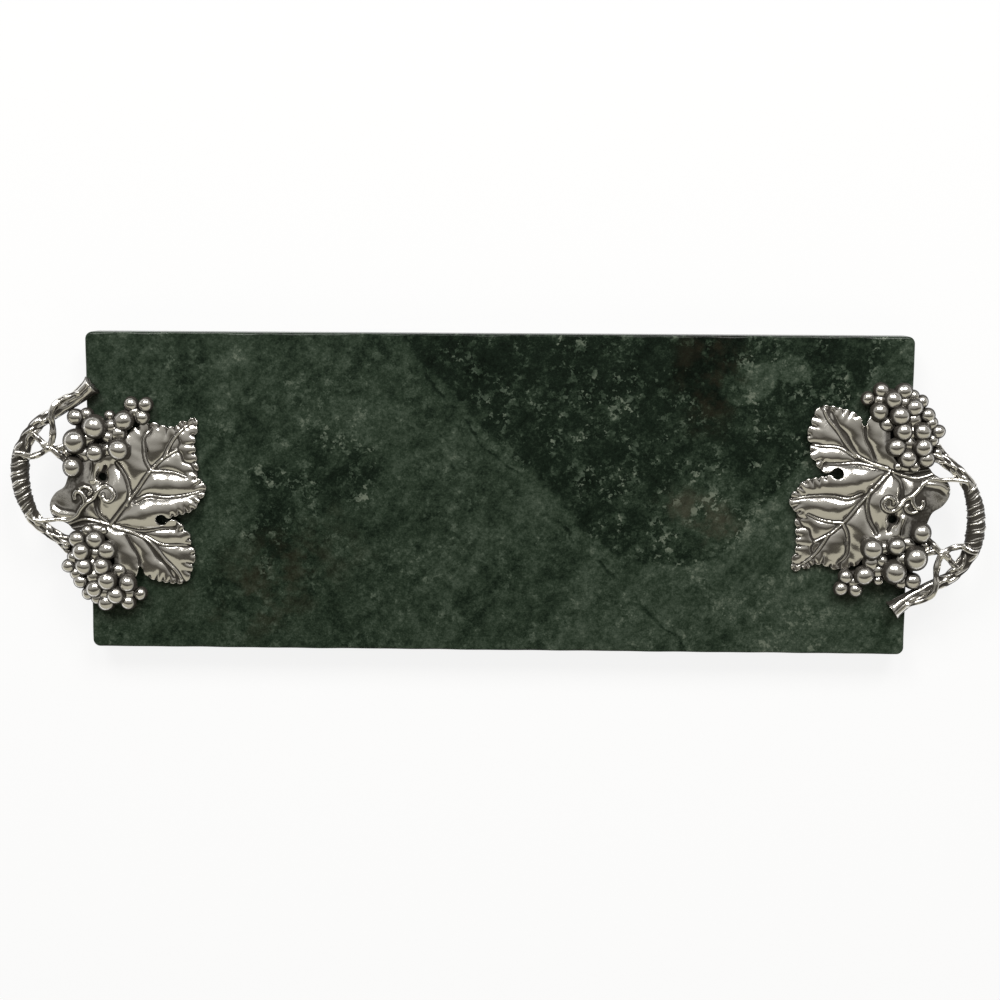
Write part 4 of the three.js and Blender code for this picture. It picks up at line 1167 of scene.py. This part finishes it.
SMALL_STALK = [
    (-52, -16.2, 4.6), (-48.5, -20.4, 4), (-45, -24.5, 3.4), (-42.2, -27.6, 3.2), (-38.4, -27.6, 3.2)]
STALK_RADIUS = 1.3
STALK_PHASE = 0.9
GRAPE_PLUMP = 1.13
GRAPE_SINK = 0.90
GRAPE_PHASE = 1.9
GRAPE_RINGS = 25
GRAPE_SIDES = 48
GRAPE_OVAL = 0.022
GRAPE_LUMPS = 0.012
GRAPE_WAIST = 0.010
POLE_PHASE = 4.7
GRAPE_PAINTED_SHADE = 2.2
GRAPE_CLEAR = 2.4
BACKING_STEP = 0.7
BACKING_TALL = 2.8
BACKING_POINTS = 90
BACKING_MARGIN = 2
BACKING_EASE = 4
BACKING_LEAST = 0.04


def grape(x, y, radius, lift, phase):
    """A ball of rings from its lowest to its highest point, whose radius changes very slightly by two waves
    round it and one up it. Painted shade covers it from below and clears towards the top."""
    radius = radius * GRAPE_PLUMP
    climb = np.linspace(-np.pi / 2, np.pi / 2, GRAPE_RINGS + 2)[1:-1, None]
    turn = np.linspace(0, 2 * np.pi, GRAPE_SIDES, endpoint=False)[None, :]
    uneven = 1 + GRAPE_OVAL * np.cos(2 * turn + phase) * np.cos(climb)
    uneven = uneven + GRAPE_WAIST * np.sin(3 * climb + phase)
    uneven = uneven + GRAPE_LUMPS * np.cos(3 * turn - 2 * phase) * np.cos(climb) ** 2
    ball = radius * uneven[..., None] * np.stack(
        [np.cos(climb) * np.cos(turn), np.cos(climb) * np.sin(turn), np.sin(climb) + 0 * turn], axis=2)
    poles = 1 + GRAPE_WAIST * np.sin([[phase - POLE_PHASE], [phase + POLE_PHASE]])
    tips = radius * np.array([[0, 0, -1], [0, 0, 1]]) * poles
    points = np.vstack([ball.reshape(-1, 3), tips]) + [x, y, SEAT_GAP + lift * GRAPE_SINK + radius]
    # Painted shade from below, clearing towards the top; the lowest tip is fully dark
    dark = np.clip(GRAPE_PAINTED_SHADE - GRAPE_CLEAR * np.sin(climb), 0, 1) + 0 * turn
    return points, tube_faces(GRAPE_RINGS, GRAPE_SIDES), np.append(dark.ravel(), [1, 0])


def backing(stops):
    """The grapes' low backing: a sheet cut to a smooth outline, painted dark all over as shade and grime
    between the grapes, whose height falls towards its edge with the square root of the depth."""
    outline = smooth_line(stops + stops[:1], BACKING_POINTS)[:-1]
    west, south = outline.min(axis=0) - BACKING_MARGIN
    east, north = outline.max(axis=0) + BACKING_MARGIN
    x, y = np.meshgrid(np.arange(west, east, BACKING_STEP), np.arange(south, north, BACKING_STEP))
    depth = depth_inside(x, y, outline)
    top = SEAT_GAP + BACKING_TALL * np.sqrt(np.clip(depth / BACKING_EASE, BACKING_LEAST, 1))
    # The backing is fully dark: painted shade with grime between the grapes
    return cut_sheet(x, y, depth, top, np.full(x.shape, SEAT_GAP), np.ones(x.shape))


def bunch(grapes, stops):
    """The shells of a bunch: its backing, then its grapes, each uneven in its own way."""
    return [backing(stops)] + [grape(*ball, GRAPE_PHASE * number) for number, ball in enumerate(grapes)]


cast_piece("large_grapes", "large_bunch", *joined(bunch(LARGE_BUNCH, LARGE_BACKING)))
cast_piece("small_grapes", "small_bunch", *joined(
    bunch(SMALL_BUNCH, SMALL_BACKING) + [twig(SMALL_STALK, STALK_RADIUS, STALK_PHASE)]))

# The board lies on a plain white floor, a flat square of matt white.
# It is only a stage for the board and isn't part of it.
FLOOR_HALF = 6.0
FLOOR_WHITE = (0.92, 0.92, 0.92, 1)
FLOOR_ROUGH = 0.9
FLOOR_GLOW = 0.86


def white_floor():
    """White by itself to the camera and in reflections, with a small share left to the light, which keeps the
    board's shadow."""
    material, tree, shader, _ = new_material("floor")
    fill(tree, shader, {"Base Color": FLOOR_WHITE, "Roughness": FLOOR_ROUGH, "Specular IOR Level": 0})
    path = tree.nodes.new("ShaderNodeLightPath").outputs
    seen = maths(tree, "ADD", path["Is Camera Ray"], path["Is Glossy Ray"])
    seen = maths(tree, "MINIMUM", maths(tree, "ADD", seen, path["Is Transmission Ray"]), 1.0)
    glow = add_node(tree, "ShaderNodeEmission", {"Color": (1, 1, 1, 1), "Strength": 1.0})
    share = maths(tree, "MULTIPLY", seen, FLOOR_GLOW)
    mixed = add_node(tree, "ShaderNodeMixShader", {0: share, 1: shader.outputs[0], 2: glow.outputs[0]})
    fill(tree, tree.nodes["Material Output"], {"Surface": mixed.outputs[0]})
    return material


corner = FLOOR_HALF * np.array([(-1, -1, 0), (1, -1, 0), (1, 1, 0), (-1, 1, 0)])
floor = add_piece("floor", corner, [np.array([[0, 1, 2, 3]])], False)
floor.data.materials.append(white_floor())

# Soft studio light: two large soft boxes half up on the far side, a dim ceiling with a dark gap towards the
# near side and a warm wall below it. Each stop of the room is an angle from straight up, minus towards the
# near side, and a colour.
ROOM_STOPS = [
    (-100, (0.34, 0.32, 0.27, 1)), (-60, (0.47, 0.45, 0.37, 1)), (-32, (0.47, 0.45, 0.37, 1)),
    (-28, (0.09, 0.083, 0.068, 1)), (-12, (0.065, 0.060, 0.050, 1)), (-3, (0.19, 0.18, 0.16, 1)),
    (20, (0.38, 0.37, 0.34, 1)), (62, (0.32, 0.31, 0.29, 1)), (80, (0.13, 0.13, 0.12, 1)),
    (100, (0.08, 0.08, 0.075, 1))]
ROOM_SPAN = 100
HORIZON_WHITE = (1, 1, 1, 1)
HORIZON_RANGE = (0.07, 0.03)
BOX_PLACES = {"left_box": (-0.60, 1.40, 1.40), "right_box": (0.60, 1.40, 1.40)}
BOX_SIZE = 0.75
BOX_POWER = 22
BOX_COLOUR = (1.0, 0.985, 0.96)


def soft_box(name, place):
    """A square lamp that looks at the middle of the board."""
    lamp = bpy.data.lights.new(name, "AREA")
    lamp.size = BOX_SIZE
    lamp.energy = BOX_POWER
    lamp.color = BOX_COLOUR
    box = bpy.data.objects.new(name, lamp)
    look = (-Vector(place)).to_track_quat("-Z", "Y").to_matrix().to_4x4()
    box.matrix_world = Matrix.Translation(place) @ look
    box.visible_camera = False
    bpy.context.scene.collection.objects.link(box)


def studio_room():
    """The room by the angle of the view from straight up, with a thin white line along the horizon."""
    world = bpy.data.worlds.new("studio")
    bpy.context.scene.world = world
    world.use_nodes = True
    tree = world.node_tree
    where = tree.nodes.new("ShaderNodeTexCoord").outputs["Generated"]
    axes = add_node(tree, "ShaderNodeSeparateXYZ", {0: where}).outputs
    angle = maths(tree, "ARCTAN2", axes["Y"], axes["Z"])
    share = between(tree, angle, -np.radians(ROOM_SPAN), np.radians(ROOM_SPAN), smooth=False)
    stops = [((place + ROOM_SPAN) / (2 * ROOM_SPAN), colour) for place, colour in ROOM_STOPS]
    low = between(tree, axes["Z"], *HORIZON_RANGE)
    colour = painted(tree, low, colour_ramp(tree, share, stops), HORIZON_WHITE)
    fill(tree, tree.nodes["Background"], {"Color": colour, "Strength": 1.0})


studio_room()
for name, place in BOX_PLACES.items():
    soft_box(name, place)

# The camera stands nearly over the middle of the board, a little to the far side.
# Its place is in metres, its turn about X, Y and Z in degrees, its lens and sensor in millimetres.
CAMERA_PLACE = (0.0223, 0.1296, 0.9567)
CAMERA_TURN = (8.06, -1.25, -0.48)
CAMERA_LENS = 61.2
CAMERA_SENSOR = 36
camera_data = bpy.data.cameras.new("camera")
camera_data.lens = CAMERA_LENS
camera_data.sensor_width = CAMERA_SENSOR
camera = bpy.data.objects.new("camera", camera_data)
spin = [Matrix.Rotation(np.radians(angle), 3, axis) for angle, axis in zip(CAMERA_TURN, "XYZ")]
camera.matrix_world = Matrix.Translation(CAMERA_PLACE) @ (spin[2] @ spin[1] @ spin[0]).transposed().to_4x4()
bpy.context.scene.collection.objects.link(camera)
bpy.context.scene.camera = camera
bpy.context.scene.view_settings.view_transform = "Standard"
